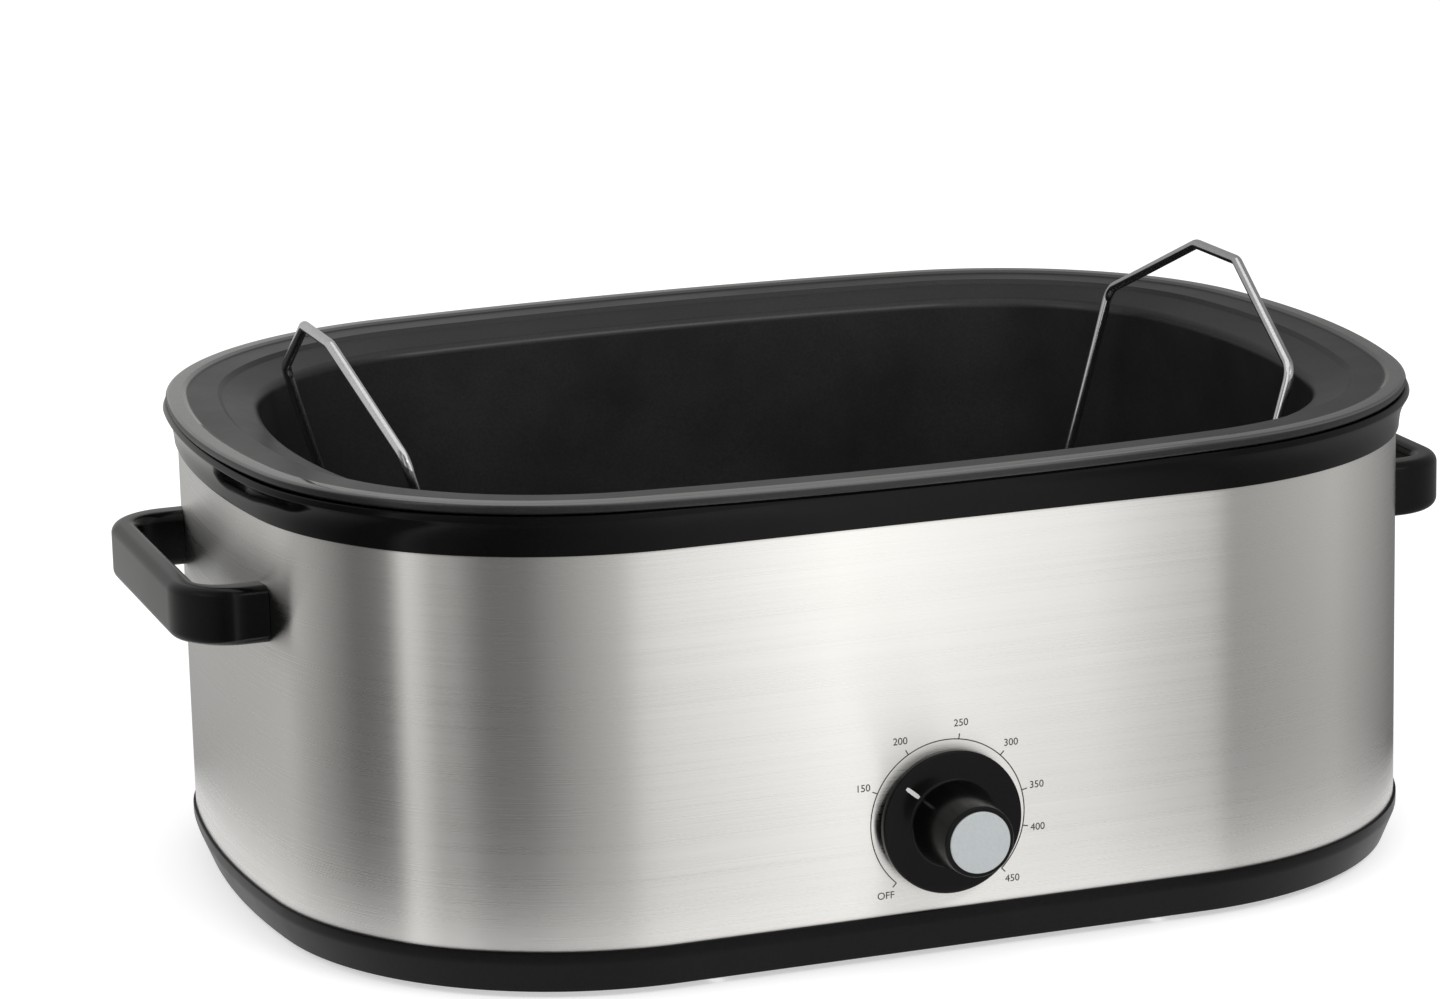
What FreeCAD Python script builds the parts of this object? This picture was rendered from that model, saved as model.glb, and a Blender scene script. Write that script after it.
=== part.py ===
import FreeCAD, Part
import math
import os
import re
import Sketcher

# An electric roaster oven: a countertop oven with a brushed steel case on a
# black base, a lift-out pan, and a wire rack with two tall lifting bails.
# Millimetres. The origin is on the floor, under the middle of the case.
# +X runs along the length, -Y is the front with the knob, +Z is up.

DOC = FreeCAD.newDocument("roaster_oven")
SHEET = DOC.addObject("Spreadsheet::Sheet", "Sizes")

SIZES = {
    # Case outline: straight long sides, round corners, gently curved ends
    "case_half_length": 265,
    "case_half_depth": 195,
    "case_corner_radius": 142,
    "case_end_radius": 500,
    # Heights of the outer pieces, from the floor up
    "foot_stand": 3,
    "skirt_height": 19,
    "wall_show": 168,
    "collar_height": 18,
    # Base skirt
    "skirt_proud": 1.2,
    "skirt_tuck": 4.5,
    "skirt_shelf": 16,
    "skirt_wall": 2.5,
    "skirt_edge_radius": 1,
    "skirt_lip_radius": 0.4,
    "skirt_lip_height": 5,
    "skirt_bend_radius": 6,
    # Steel wall
    "wall_thickness": 0.8,
    "wall_tuck": 6,
    "wall_seat_gap": 0.1,
    # Rim collar
    "collar_lip": 2.5,
    "collar_lip_thickness": 1.2,
    "collar_flare": 6,
    "collar_shell": 2,
    "collar_flange": 10,
    "collar_edge_radius": 1.2,
    "collar_edge_drop": 2.5,
    "collar_edge_tuck": 1,
    "collar_shoulder_radius": 1,
    "collar_swell": 0.8,
    "collar_sweep_radius": 24,
    "collar_foot_radius": 0.5,
    # Bottom plate, its screws and the feet
    "plate_thickness": 1,
    "foot_radius": 9,
    "foot_height": 6,
    "foot_stem_radius": 3,
    "foot_stem_length": 5,
    "foot_corner_inset": 28,
    "foot_corner_share": 0.7,
    "base_screw_radius": 1.75,
    "base_screw_length": 8,
    "base_screw_head_radius": 3.4,
    "base_screw_head_height": 1.6,
    "base_screw_spread": 100,
    "base_screw_inset": 11.5,
    # Pan outline: its long sides bow out a little
    "pan_half_length": 271,
    "pan_half_depth": 208,
    "pan_corner_radius": 150,
    "pan_end_radius": 400,
    "pan_side_radius": 1200,
    # Pan section
    "pan_sheet": 1.4,
    "pan_seat_gap": 0.3,
    "pan_bead": 4.6,
    "pan_bead_radius": 2.07,
    "pan_bead_width": 7.36,
    "pan_edge_radius": 1,
    "pan_land_start": 10.12,
    "pan_land_drop": 1.38,
    "pan_land": 23,
    "pan_step": 2,
    "pan_step_radius": 0.5,
    "pan_slope_run": 16,
    "pan_slope_drop": 5,
    "pan_lip_radius": 5,
    "pan_lip_inner_radius": 3,
    "pan_depth": 156,
    "pan_taper": 6,
    "pan_floor_radius": 34,
    "floor_ring": 6,
    "floor_overlap": 3,
    # Heating well
    "well_gap": 9,
    "well_sheet": 0.9,
    "well_floor_gap": 8,
    "well_floor_radius": 44,
    "well_flange": 12,
    "well_flange_radius": 2,
    "well_flange_inner_radius": 1,
    # Heater band and its straps
    "heater_thickness": 2.4,
    "heater_height": 46,
    "heater_floor": 96,
    "strap_thickness": 0.6,
    "strap_height": 10,
    "strap_inset": 5,
    "heater_tab_width": 7,
    "heater_tab_length": 11,
    "heater_tab_spread": 12,
    "heater_tab_side": 28,
    # Insulation blanket
    "blanket_thickness": 9,
    "blanket_gap": 0.3,
    "blanket_floor": 88,
    "blanket_top_gap": 1,
    # Handles
    "handle_reach": 31,
    "handle_half_width": 80,
    "handle_arm": 15,
    "handle_grip": 12,
    "handle_height": 25,
    "handle_middle": 149.5,
    "handle_corner_radius": 28,
    "handle_inner_radius": 12,
    "handle_round": 4.5,
    "handle_seat_gap": 0.05,
    "handle_screw_radius": 2.5,
    "handle_screw_length": 16,
    "handle_screw_head_radius": 4.5,
    "handle_screw_head_height": 2.6,
    "handle_screw_gap": 0.2,
    # Knob and thermostat
    "knob_height": 61,
    "knob_gap": 3,
    "knob_skirt_radius": 31,
    "knob_skirt_thickness": 3.2,
    "knob_skirt_shell": 1.6,
    "knob_skirt_rise": 0.8,
    "knob_grip_root_radius": 18.5,
    "knob_grip_tip_radius": 15.2,
    "knob_root_radius": 1.5,
    "knob_length": 33,
    "knob_edge_radius": 1,
    "knob_wall": 2.4,
    "knob_hub_radius": 6.5,
    "knob_flute_radius": 1.1,
    "knob_flute_shift": 0.5,
    "knob_flute_stop": 2,
    "knob_flute_count": 20,
    "cap_radius": 13.2,
    "cap_thickness": 1.6,
    "cap_proud": 0.8,
    "cap_gap": 0.1,
    "cap_edge_radius": 0.4,
    "shaft_radius": 3,
    "shaft_running_gap": 0.05,
    "shaft_knob_depth": 14,
    "shaft_tail": 6,
    "shaft_room": 0.4,
    "shaft_end_room": 0.5,
    "clip_thickness": 0.5,
    "clip_width": 1,
    "bushing_radius": 4.9,
    "bushing_proud": 2.6,
    "nut_across": 14,
    "nut_thickness": 2,
    "thermostat_width": 32,
    "thermostat_tall": 26,
    "bracket_width": 48,
    "bracket_tall": 20,
    "bracket_thickness": 1,
    "terminal_width": 6.3,
    "terminal_length": 9,
    "terminal_thickness": 0.8,
    "terminal_spread": 16,
    "terminal_inset": 5,
    "sensor_width": 8,
    "sensor_thickness": 0.8,
    "sensor_gap": 2,
    "sensor_lift": 3,
    # Cord inlet and wiring
    "inlet_side": 70,
    "inlet_height": 46,
    "inlet_bore_radius": 3.6,
    "grommet_neck_radius": 6,
    "grommet_flange_radius": 9,
    "grommet_flange_thickness": 2.2,
    "block_length": 30,
    "block_width": 16,
    "block_tall": 14,
    "block_back": 150,
    "fuse_radius": 2.2,
    "fuse_length": 12,
    "fuse_side": 30,
    "fuse_back": 70,
    "fuse_clip_width": 6,
    "fuse_clip_thickness": 0.6,
    "fuse_clip_mouth": 3.4,
    # Rack and bails
    "wire_radius": 2.3,
    "rack_half_length": 188,
    "rack_half_depth": 118,
    "rack_corner_radius": 45,
    "rack_stand": 12,
    "rack_wire_radius": 2,
    "rack_wire_pitch": 36,
    "rack_rail_spread": 46,
    "rack_foot_inset": 20,
    "bail_hinge_side": 160,
    "bail_half_width": 100,
    "bail_lean": 16,
    "bail_leg": 155,
    "bail_rise": 36,
    "bail_grip_half": 22,
    "bail_bend_radius": 9,
    "bail_pin": 14,
    "bail_pin_bend_radius": 4.5,
    "eye_length": 8,
    "eye_radius": 4.3,
    "eye_weld": 0.3,
    "eye_side_gap": 0.8,
    # Room for cuts: how long a bore is, and how far a cut runs past a face
    "bore_length": 30,
    "cut_margin": 1,
}


def fill_sheet():
    """One row a size: its name in words, its value and its alias."""
    for row, (name, number) in enumerate(SIZES.items(), start=1):
        SHEET.set("A%d" % row, name.replace("_", " "))
        SHEET.set("B%d" % row, str(number))
        SHEET.setAlias("B%d" % row, name)
    DOC.recompute()


def formula(text):
    """The text with each size's name pointed at its cell in the sheet."""
    def cell(match):
        word = match.group()
        return "Sizes." + word if word in SIZES else word
    return re.sub(r"[a-z][a-z_]+", cell, text)


def value(text):
    """What a formula comes to with the sheet as it stands."""
    result = SHEET.evalExpression(formula(text))
    return float(getattr(result, "Value", result))


# Levels that several pieces share
SKIRT_TOP = "(foot_stand + skirt_height)"
COLLAR_FOOT = "(foot_stand + skirt_height + wall_show)"
WALL_TOP = "(foot_stand + skirt_height + wall_show + collar_lip)"
COLLAR_TOP = "(foot_stand + skirt_height + wall_show + collar_height)"
PAN_SEAT = "(" + COLLAR_TOP + " + pan_seat_gap)"
PAN_RIM_TOP = "(" + PAN_SEAT + " + pan_bead)"
PAN_LAND_TOP = "(" + PAN_RIM_TOP + " - pan_land_drop)"
PAN_SLOPE_TOP = "(" + PAN_LAND_TOP + " - pan_step)"
PAN_LIP_TOP = "(" + PAN_SLOPE_TOP + " - pan_slope_drop)"
PAN_FLOOR = "(" + PAN_LIP_TOP + " - pan_depth)"
PAN_OPENING = "(pan_land + pan_slope_run + pan_step)"
WELL_FLOOR = "(" + PAN_FLOOR + " - pan_sheet - well_floor_gap)"
PLATE_TOP = "(foot_stand + skirt_wall + plate_thickness)"
RACK_LEVEL = "(" + PAN_FLOOR + " + rack_stand)"
HINGE_LEVEL = "(" + RACK_LEVEL + " + rack_wire_radius + eye_radius - eye_weld)"
HANDLE_FLOOR = "(handle_middle - handle_height / 2)"
FRONT_FACE = "(-case_half_depth)"

# The case outline's corner centres follow from its four sizes
CASE = {
    "corner_x": "(case_half_length - case_end_radius + sqrt((case_end_radius"
                " - case_corner_radius)^2 - (case_half_depth - case_corner_radius)^2))",
    "corner_y": "(case_half_depth - case_corner_radius)",
    "corner": "case_corner_radius",
    "end": "case_end_radius",
    "side": None,
    "half_depth": "case_half_depth",
}

# The pan's corner centres lie where its side and end arcs both touch the corner
SIDE_REACH = "(pan_side_radius - pan_corner_radius)"
END_REACH = "(pan_end_radius - pan_corner_radius)"
CENTRE_ACROSS = "(pan_half_length - pan_end_radius)"
CENTRE_DOWN = "(pan_half_depth - pan_side_radius)"
CENTRE_GAP = "sqrt(" + CENTRE_ACROSS + "^2 + " + CENTRE_DOWN + "^2)"
ALONG = "((" + SIDE_REACH + "^2 - " + END_REACH + "^2 + " + CENTRE_GAP + "^2) / (2 * " + CENTRE_GAP + "))"
ASIDE = "sqrt(" + SIDE_REACH + "^2 - " + ALONG + "^2)"
PAN = {
    "corner_x": "((" + CENTRE_ACROSS + " * " + ALONG + " - " + CENTRE_DOWN + " * " + ASIDE
                + ") / " + CENTRE_GAP + ")",
    "corner_y": "(" + CENTRE_DOWN + " - (" + CENTRE_ACROSS + " * " + ASIDE + " + " + CENTRE_DOWN
                + " * " + ALONG + ") / " + CENTRE_GAP + ")",
    "corner": "pan_corner_radius",
    "end": "pan_end_radius",
    "side": "pan_side_radius",
    "half_depth": "pan_half_depth",
}


def new_body(label):
    body = DOC.addObject("PartDesign::Body", label)
    body.Label = label
    return body


def new_sketch(body, name, plane, lift=None):
    """A sketch on one of the body's own origin planes, raised by a formula."""
    sketch = body.newObject("Sketcher::SketchObject", name)
    support = [item for item in body.Origin.OriginFeatures if item.Role == plane][0]
    sketch.AttachmentSupport = (support, [""])
    sketch.MapMode = "FlatFace"
    if lift:
        sketch.setExpression("AttachmentOffset.Base.z", formula(lift))
    return sketch


def bind(sketch, constraint, text):
    """Adds a sized constraint and ties it to its formula."""
    index = sketch.addConstraint(constraint)
    sketch.setExpression("Constraints[%d]" % index, formula(text))


def pin_point(sketch, item, end, across, up):
    """Holds a point at a place given by two formulas."""
    for kind, text, axis in (("DistanceX", across, -2), ("DistanceY", up, -1)):
        distance = value(text)
        if abs(distance) < 1e-7:
            sketch.addConstraint(Sketcher.Constraint("PointOnObject", item, end, axis))
        else:
            bind(sketch, Sketcher.Constraint(kind, -1, 1, item, end, distance), text)


def arc(centre, start, finish):
    """The anticlockwise arc about centre from start to finish."""
    first = math.atan2(start.y - centre.y, start.x - centre.x)
    last = math.atan2(finish.y - centre.y, finish.x - centre.x)
    circle = Part.Circle(centre, FreeCAD.Vector(0, 0, 1), centre.distanceToPoint(start))
    return Part.ArcOfCircle(circle, first, last)


def add_circle(sketch, across, up, radius):
    """A circle with its centre and radius tied to formulas."""
    centre = FreeCAD.Vector(value(across), value(up), 0)
    item = sketch.addGeometry(Part.Circle(centre, FreeCAD.Vector(0, 0, 1), value(radius)))
    pin_point(sketch, item, 3, across, up)
    bind(sketch, Sketcher.Constraint("Radius", item, value(radius)), radius)


def add_oval(sketch, family, offset):
    """The outline of a family, moved outwards by a formula, from its front middle round."""
    out = value(offset)
    corner_x = value(family["corner_x"])
    corner_y = value(family["corner_y"])
    corner = value(family["corner"]) + out
    end = value(family["end"]) + out
    end_x = corner_x - math.sqrt((end - corner) ** 2 - corner_y ** 2)
    towards = FreeCAD.Vector(corner_x - end_x, corner_y, 0).normalize()
    end_touch = FreeCAD.Vector(corner_x, corner_y, 0) + towards * corner
    if family["side"]:
        side = value(family["side"]) + out
        side_y = corner_y - math.sqrt((side - corner) ** 2 - corner_x ** 2)
        towards = FreeCAD.Vector(corner_x, corner_y - side_y, 0).normalize()
        side_touch = FreeCAD.Vector(corner_x, corner_y, 0) + towards * corner
        top = FreeCAD.Vector(0, side_y + side, 0)
    else:
        side_touch = FreeCAD.Vector(corner_x, corner_y + corner, 0)
        top = FreeCAD.Vector(0, corner_y + corner, 0)

    def at(point, x_sign, y_sign):
        return FreeCAD.Vector(point.x * x_sign, point.y * y_sign, 0)

    def side_piece(start, finish, y_sign):
        if family["side"]:
            return arc(FreeCAD.Vector(0, side_y * y_sign, 0), start, finish)
        return Part.LineSegment(start, finish)

    middle = FreeCAD.Vector(corner_x, corner_y, 0)
    pieces = [
        side_piece(at(top, 1, -1), at(side_touch, 1, -1), -1),
        arc(at(middle, 1, -1), at(side_touch, 1, -1), at(end_touch, 1, -1)),
        arc(FreeCAD.Vector(end_x, 0, 0), at(end_touch, 1, -1), at(end_touch, 1, 1)),
        arc(at(middle, 1, 1), at(end_touch, 1, 1), at(side_touch, 1, 1)),
        side_piece(at(side_touch, 1, 1), at(side_touch, -1, 1), 1),
        arc(at(middle, -1, 1), at(side_touch, -1, 1), at(end_touch, -1, 1)),
        arc(FreeCAD.Vector(-end_x, 0, 0), at(end_touch, -1, 1), at(end_touch, -1, -1)),
        arc(at(middle, -1, -1), at(end_touch, -1, -1), at(side_touch, -1, -1)),
        side_piece(at(side_touch, -1, -1), at(top, 1, -1), -1),
    ]
    items = [sketch.addGeometry(piece) for piece in pieces]
    for number, (x_sign, y_sign) in zip((1, 3, 5, 7), (("", "-"), ("", ""), ("-", ""), ("-", "-"))):
        pin_point(sketch, items[number], 3, x_sign + family["corner_x"], y_sign + family["corner_y"])
        bind(sketch, Sketcher.Constraint("Radius", items[number], corner),
             family["corner"] + " + " + offset)
    for number in (2, 6):
        bind(sketch, Sketcher.Constraint("Radius", items[number], end), family["end"] + " + " + offset)
    for number, tip in ((0, 1), (8, 2)):
        sketch.addConstraint(Sketcher.Constraint("PointOnObject", items[number], tip, -2))
        if family["side"]:
            sketch.addConstraint(Sketcher.Constraint("PointOnObject", items[number], 3, -2))
        else:
            sketch.addConstraint(Sketcher.Constraint("Horizontal", items[number]))
    if family["side"]:
        for number in (0, 4, 8):
            bind(sketch, Sketcher.Constraint("Radius", items[number], side), family["side"] + " + " + offset)
    for number in range(8):
        sketch.addConstraint(Sketcher.Constraint("Tangent", items[number], 2, items[number + 1], 1))


def add_run(sketch, points, closed=True):
    """Straight runs between points, each point (across, up, radius) rounded by its radius."""
    count = len(points)
    places = [FreeCAD.Vector(value(across), value(up), 0) for across, up, _ in points]
    radii = [value(radius) for _, _, radius in points]

    def bend(number):
        """Where the corner's arc starts, ends and centres, and whether it turns left."""
        here = places[number]
        back = (places[number - 1] - here).normalize()
        ahead = (places[(number + 1) % count] - here).normalize()
        half = back.getAngle(ahead) / 2
        reach = radii[number] / math.tan(half)
        middle = (back + ahead).normalize() * (radii[number] / math.sin(half))
        return here + back * reach, here + ahead * reach, here + middle, back.cross(ahead).z < 0

    rounded = [radii[n] > 0 and (closed or 0 < n < count - 1) for n in range(count)]
    bends = [bend(n) if rounded[n] else (places[n], places[n], None, True) for n in range(count)]
    spans = count if closed else count - 1
    lines = []
    arcs = {}
    for number in range(spans):
        after = (number + 1) % count
        lines.append(sketch.addGeometry(Part.LineSegment(bends[number][1], bends[after][0])))
        if rounded[after]:
            start, finish, centre, left = bends[after]
            piece = arc(centre, start, finish) if left else arc(centre, finish, start)
            arcs[after] = sketch.addGeometry(piece)
    for number in range(count):
        across, up, radius = points[number]
        before = lines[number - 1] if closed or number > 0 else None
        after = lines[number] if number < spans else None
        if rounded[number]:
            mark = sketch.addGeometry(Part.Point(places[number]), True)
            pin_point(sketch, mark, 1, across, up)
            sketch.addConstraint(Sketcher.Constraint("PointOnObject", mark, 1, before))
            sketch.addConstraint(Sketcher.Constraint("PointOnObject", mark, 1, after))
            enter, leave = (1, 2) if bends[number][3] else (2, 1)
            sketch.addConstraint(Sketcher.Constraint("Tangent", before, 2, arcs[number], enter))
            sketch.addConstraint(Sketcher.Constraint("Tangent", arcs[number], leave, after, 1))
            bind(sketch, Sketcher.Constraint("Radius", arcs[number], radii[number]), radius)
        elif before is not None and after is not None:
            sketch.addConstraint(Sketcher.Constraint("Coincident", before, 2, after, 1))
            pin_point(sketch, after, 1, across, up)
        elif after is not None:
            pin_point(sketch, after, 1, across, up)
        else:
            pin_point(sketch, before, 2, across, up)


def ring_sweep(body, family, section):
    """Sweeps a section, given as (out, up, radius) points, round a family's outline."""
    path = new_sketch(body, body.Name + "_path", "XY_Plane")
    add_oval(path, family, "0")
    profile = new_sketch(body, body.Name + "_section", "YZ_Plane")
    face = family["half_depth"]
    add_run(profile, [("-(" + face + " + " + out + ")", up, radius) for out, up, radius in section])
    DOC.recompute()
    sweep = body.newObject("PartDesign::AdditivePipe", body.Name + "_sweep")
    sweep.Profile = profile
    sweep.Spine = (path, ["Edge%d" % (n + 1) for n in range(len(path.Shape.Edges))])
    DOC.recompute()
    flat = Part.Face(profile.Shape.Wires[0])
    outwards = -flat.CenterOfMass.y - value(family["half_depth"])
    wanted = flat.Area * (path.Shape.Length + 2 * math.pi * outwards)
    print("%s: swept volume %.0f, section times length %.0f" % (body.Name, sweep.Shape.Volume, wanted))
    return sweep


def pad(body, name, sketch, length):
    feature = body.newObject("PartDesign::Pad", name)
    feature.Profile = sketch
    feature.setExpression("Length", formula(length))
    DOC.recompute()
    return feature


def slab(body, name, family, offset, bottom, thickness):
    """A flat plate of a family's outline."""
    sketch = new_sketch(body, name + "_outline", "XY_Plane", bottom)
    add_oval(sketch, family, offset)
    return pad(body, name, sketch, thickness)


def band(label, family, outside, inside, bottom, height):
    """An upright ring between two offsets of a family's outline."""
    body = new_body(label)
    sketch = new_sketch(body, label + "_ring", "XY_Plane", bottom)
    add_oval(sketch, family, outside)
    add_oval(sketch, family, inside)
    pad(body, label + "_pad", sketch, height)
    return body


def place(item, across="0", deep="0", up="0"):
    """Ties an object's place to three formulas."""
    for axis, text in (("x", across), ("y", deep), ("z", up)):
        item.setExpression("Placement.Base." + axis, formula(text))
    return item


def turn(item, axis, degrees):
    item.Placement = FreeCAD.Placement(FreeCAD.Vector(), FreeCAD.Rotation(axis, degrees))
    return item


ALONG_X = (FreeCAD.Vector(0, 1, 0), 90)
TO_FRONT = (FreeCAD.Vector(1, 0, 0), 90)
TO_BACK = (FreeCAD.Vector(1, 0, 0), -90)
UPRIGHT = (FreeCAD.Vector(0, 0, 1), 0)


def rod(name, radius, height, across, deep, up, lie=UPRIGHT):
    """A round rod from a place along the way it lies."""
    item = DOC.addObject("Part::Cylinder", name)
    item.setExpression("Radius", formula(radius))
    item.setExpression("Height", formula(height))
    turn(item, *lie)
    return place(item, across, deep, up)


def block(name, length, width, tall, across, deep, up):
    """A box from its lowest corner."""
    item = DOC.addObject("Part::Box", name)
    item.setExpression("Length", formula(length))
    item.setExpression("Width", formula(width))
    item.setExpression("Height", formula(tall))
    return place(item, across, deep, up)


def cut(label, base, tools):
    """The base with every tool taken out of it."""
    for number, tool in enumerate(tools):
        item = DOC.addObject("Part::Cut", "%s_cut_%d" % (label, number + 1))
        item.Base = base
        item.Tool = tool
        base = item
    base.Label = label
    DOC.recompute()
    return base


def fuse(label, items):
    item = DOC.addObject("Part::MultiFuse", label)
    item.Shapes = items
    item.Label = label
    DOC.recompute()
    return item


def group(label, items):
    """Identical loose pieces under one name."""
    item = DOC.addObject("Part::Compound", label)
    item.Links = items
    item.Label = label
    DOC.recompute()
    return item


SIGNS = (("right", ""), ("left", "-"))
CORNERS = (("front_right", "", "-"), ("back_right", "", ""), ("back_left", "-", ""), ("front_left", "-", "-"))

# Screw places that the pieces they pass through share
BASE_SCREW_Y = "(case_half_depth - base_screw_inset)"
HANDLE_SCREW_Y = "(handle_half_width - handle_arm / 2)"
HANDLE_SEAT_X = "(case_half_length - case_end_radius + sqrt(case_end_radius^2 - " + HANDLE_SCREW_Y + "^2))"
SCREW_SEAT_X = ("(case_half_length - case_end_radius + sqrt((case_end_radius - wall_thickness)^2 - ("
                + HANDLE_SCREW_Y + " + handle_screw_head_radius)^2))")
INLET_SEAT_Y = "case_half_depth"
FRONT_BORE = FRONT_FACE + " + bore_length / 2"
INLET_BORE = INLET_SEAT_Y + " - bore_length / 2"


def screw_bores(label, radius, ends):
    """Bores for the handle screws of the given ends, right through the wall."""
    return [rod("%s_%s_%s" % (label, name, side), radius, "bore_length",
                x + HANDLE_SEAT_X + " - bore_length / 2", y + HANDLE_SCREW_Y, "handle_middle", ALONG_X)
            for name, x in ends for side, y in (("front", "-"), ("back", ""))]


def make_base_skirt():
    """The black moulded base: a sloping outer wall and a shelf that the steel stands on."""
    body = new_body("base_skirt_ring")
    ring_sweep(body, CASE, [
        ("skirt_proud", SKIRT_TOP, "skirt_lip_radius"),
        ("skirt_proud", SKIRT_TOP + " - skirt_lip_height", "skirt_bend_radius"),
        ("-skirt_tuck", "foot_stand", "skirt_edge_radius"),
        ("-skirt_shelf", "foot_stand", "0"),
        ("-skirt_shelf", "foot_stand + skirt_wall", "0"),
        ("-skirt_tuck - skirt_wall", "foot_stand + skirt_wall", "0"),
        ("-skirt_wall", SKIRT_TOP + " - wall_tuck - skirt_wall", "0"),
        ("-skirt_wall", SKIRT_TOP + " - wall_tuck", "0"),
        ("wall_seat_gap", SKIRT_TOP + " - wall_tuck", "0"),
        ("wall_seat_gap", SKIRT_TOP, "0"),
    ])
    holes = [rod("skirt_hole_" + name, "base_screw_radius", "base_screw_length", x + "base_screw_spread",
                 y + BASE_SCREW_Y, "foot_stand - cut_margin") for name, x, y in CORNERS]
    return cut("base_skirt", body, holes)


def make_bottom_plate():
    """The steel sheet that closes the base."""
    body = new_body("bottom_plate_sheet")
    slab(body, "bottom_plate_pad", CASE, "-(skirt_tuck + skirt_wall + wall_seat_gap)",
         "foot_stand + skirt_wall", "plate_thickness")
    holes = [rod("plate_hole_" + name, "base_screw_radius", "base_screw_length", x + "base_screw_spread",
                 y + BASE_SCREW_Y, "foot_stand - cut_margin") for name, x, y in CORNERS]
    stems = foot_places("plate_foot_hole_", "foot_stem_radius", "foot_stand", "foot_stem_length + plate_thickness")
    return cut("bottom_plate", body, holes + stems)


def foot_places(name, radius, bottom, height):
    """A rod at each foot, inside the four corners of the base."""
    reach = "(case_corner_radius - foot_corner_inset)"
    return [rod(name + corner, radius, height,
                x + "(" + CASE["corner_x"] + " + foot_corner_share * " + reach + ")",
                y + "(" + CASE["corner_y"] + " + foot_corner_share * " + reach + ")", bottom)
            for corner, x, y in CORNERS]


def make_feet():
    pads = foot_places("foot_pad_", "foot_radius", "0", "foot_stand + skirt_wall")
    stems = foot_places("foot_stem_", "foot_stem_radius", "0", "foot_stand + skirt_wall + foot_stem_length")
    feet = [fuse("foot_" + corner[0], [pad_rod, stem])
            for corner, pad_rod, stem in zip(CORNERS, pads, stems)]
    return group("rubber_feet", feet)


def make_base_screws():
    screws = []
    for name, x, y in CORNERS:
        shank = rod("base_shank_" + name, "base_screw_radius", "base_screw_length",
                    x + "base_screw_spread", y + BASE_SCREW_Y, "foot_stand")
        head = rod("base_head_" + name, "base_screw_head_radius", "base_screw_head_height",
                   x + "base_screw_spread", y + BASE_SCREW_Y, "foot_stand - base_screw_head_height")
        screws.append(fuse("base_screw_" + name, [shank, head]))
    return group("base_screws", screws)


def make_case_wall():
    """The brushed steel band round the case, with its holes."""
    body = band("case_wall_band", CASE, "0", "-wall_thickness", SKIRT_TOP + " - wall_tuck",
                WALL_TOP + " - " + SKIRT_TOP + " + wall_tuck")
    holes = [
        rod("bushing_hole", "bushing_radius", "bore_length", "0", FRONT_BORE, "knob_height", TO_FRONT),
        rod("inlet_hole", "grommet_neck_radius", "bore_length", "inlet_side", INLET_BORE, "inlet_height", TO_BACK),
    ]
    holes += screw_bores("handle_hole", "handle_screw_radius + handle_screw_gap", SIGNS)
    return cut("case_wall", body, holes)


def make_rim_collar():
    """The black enamelled collar: it flares up from the steel to carry the pan."""
    body = new_body("rim_collar")
    ring_sweep(body, CASE, [
        ("wall_seat_gap", COLLAR_FOOT, "0"),
        ("wall_seat_gap + collar_lip_thickness", COLLAR_FOOT, "collar_foot_radius"),
        ("wall_seat_gap + collar_lip_thickness + collar_swell", COLLAR_FOOT + " + collar_height / 2",
         "collar_sweep_radius"),
        ("collar_flare", COLLAR_TOP + " - collar_edge_drop", "collar_shoulder_radius"),
        ("collar_flare - collar_edge_tuck", COLLAR_TOP, "collar_edge_radius"),
        ("-collar_flange", COLLAR_TOP, "0"),
        ("-collar_flange", COLLAR_TOP + " - collar_shell", "0"),
        ("-wall_thickness - collar_shell", COLLAR_TOP + " - collar_shell", "0"),
        ("-wall_thickness - collar_shell", WALL_TOP, "0"),
        ("wall_seat_gap", WALL_TOP, "0"),
    ])
    return body


def make_roasting_pan():
    """The lift-out pan: rolled edge, flat land, sloped band, tapered wall and flat floor."""
    body = new_body("roasting_pan")
    wall_top = "(-" + PAN_OPENING + ")"
    wall_foot = "(-" + PAN_OPENING + " - pan_taper)"
    floor_in = "(" + wall_foot + " - pan_floor_radius - floor_ring)"
    ring_sweep(body, PAN, [
        ("0", PAN_SEAT, "pan_bead_radius"),
        ("0", PAN_RIM_TOP, "pan_bead_radius"),
        ("-pan_bead_width", PAN_RIM_TOP, "pan_edge_radius"),
        ("-pan_land_start", PAN_LAND_TOP, "pan_edge_radius"),
        ("-pan_land", PAN_LAND_TOP, "pan_step_radius"),
        ("-pan_land - pan_step", PAN_SLOPE_TOP, "pan_step_radius"),
        (wall_top, PAN_LIP_TOP, "pan_lip_radius"),
        (wall_foot, PAN_FLOOR, "pan_floor_radius"),
        (floor_in, PAN_FLOOR, "0"),
        (floor_in, PAN_FLOOR + " - pan_sheet", "0"),
        (wall_foot + " + pan_sheet", PAN_FLOOR + " - pan_sheet", "pan_floor_radius + pan_sheet"),
        (wall_top + " + pan_sheet", PAN_LIP_TOP + " - pan_sheet", "pan_lip_inner_radius"),
        ("-pan_land - pan_step + pan_step_radius", PAN_SLOPE_TOP + " - pan_sheet", "0"),
        ("-pan_land", PAN_SEAT, "0"),
    ])
    slab(body, "roasting_pan_floor", PAN, floor_in + " + floor_overlap", PAN_FLOOR + " - pan_sheet", "pan_sheet")
    return body


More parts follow.
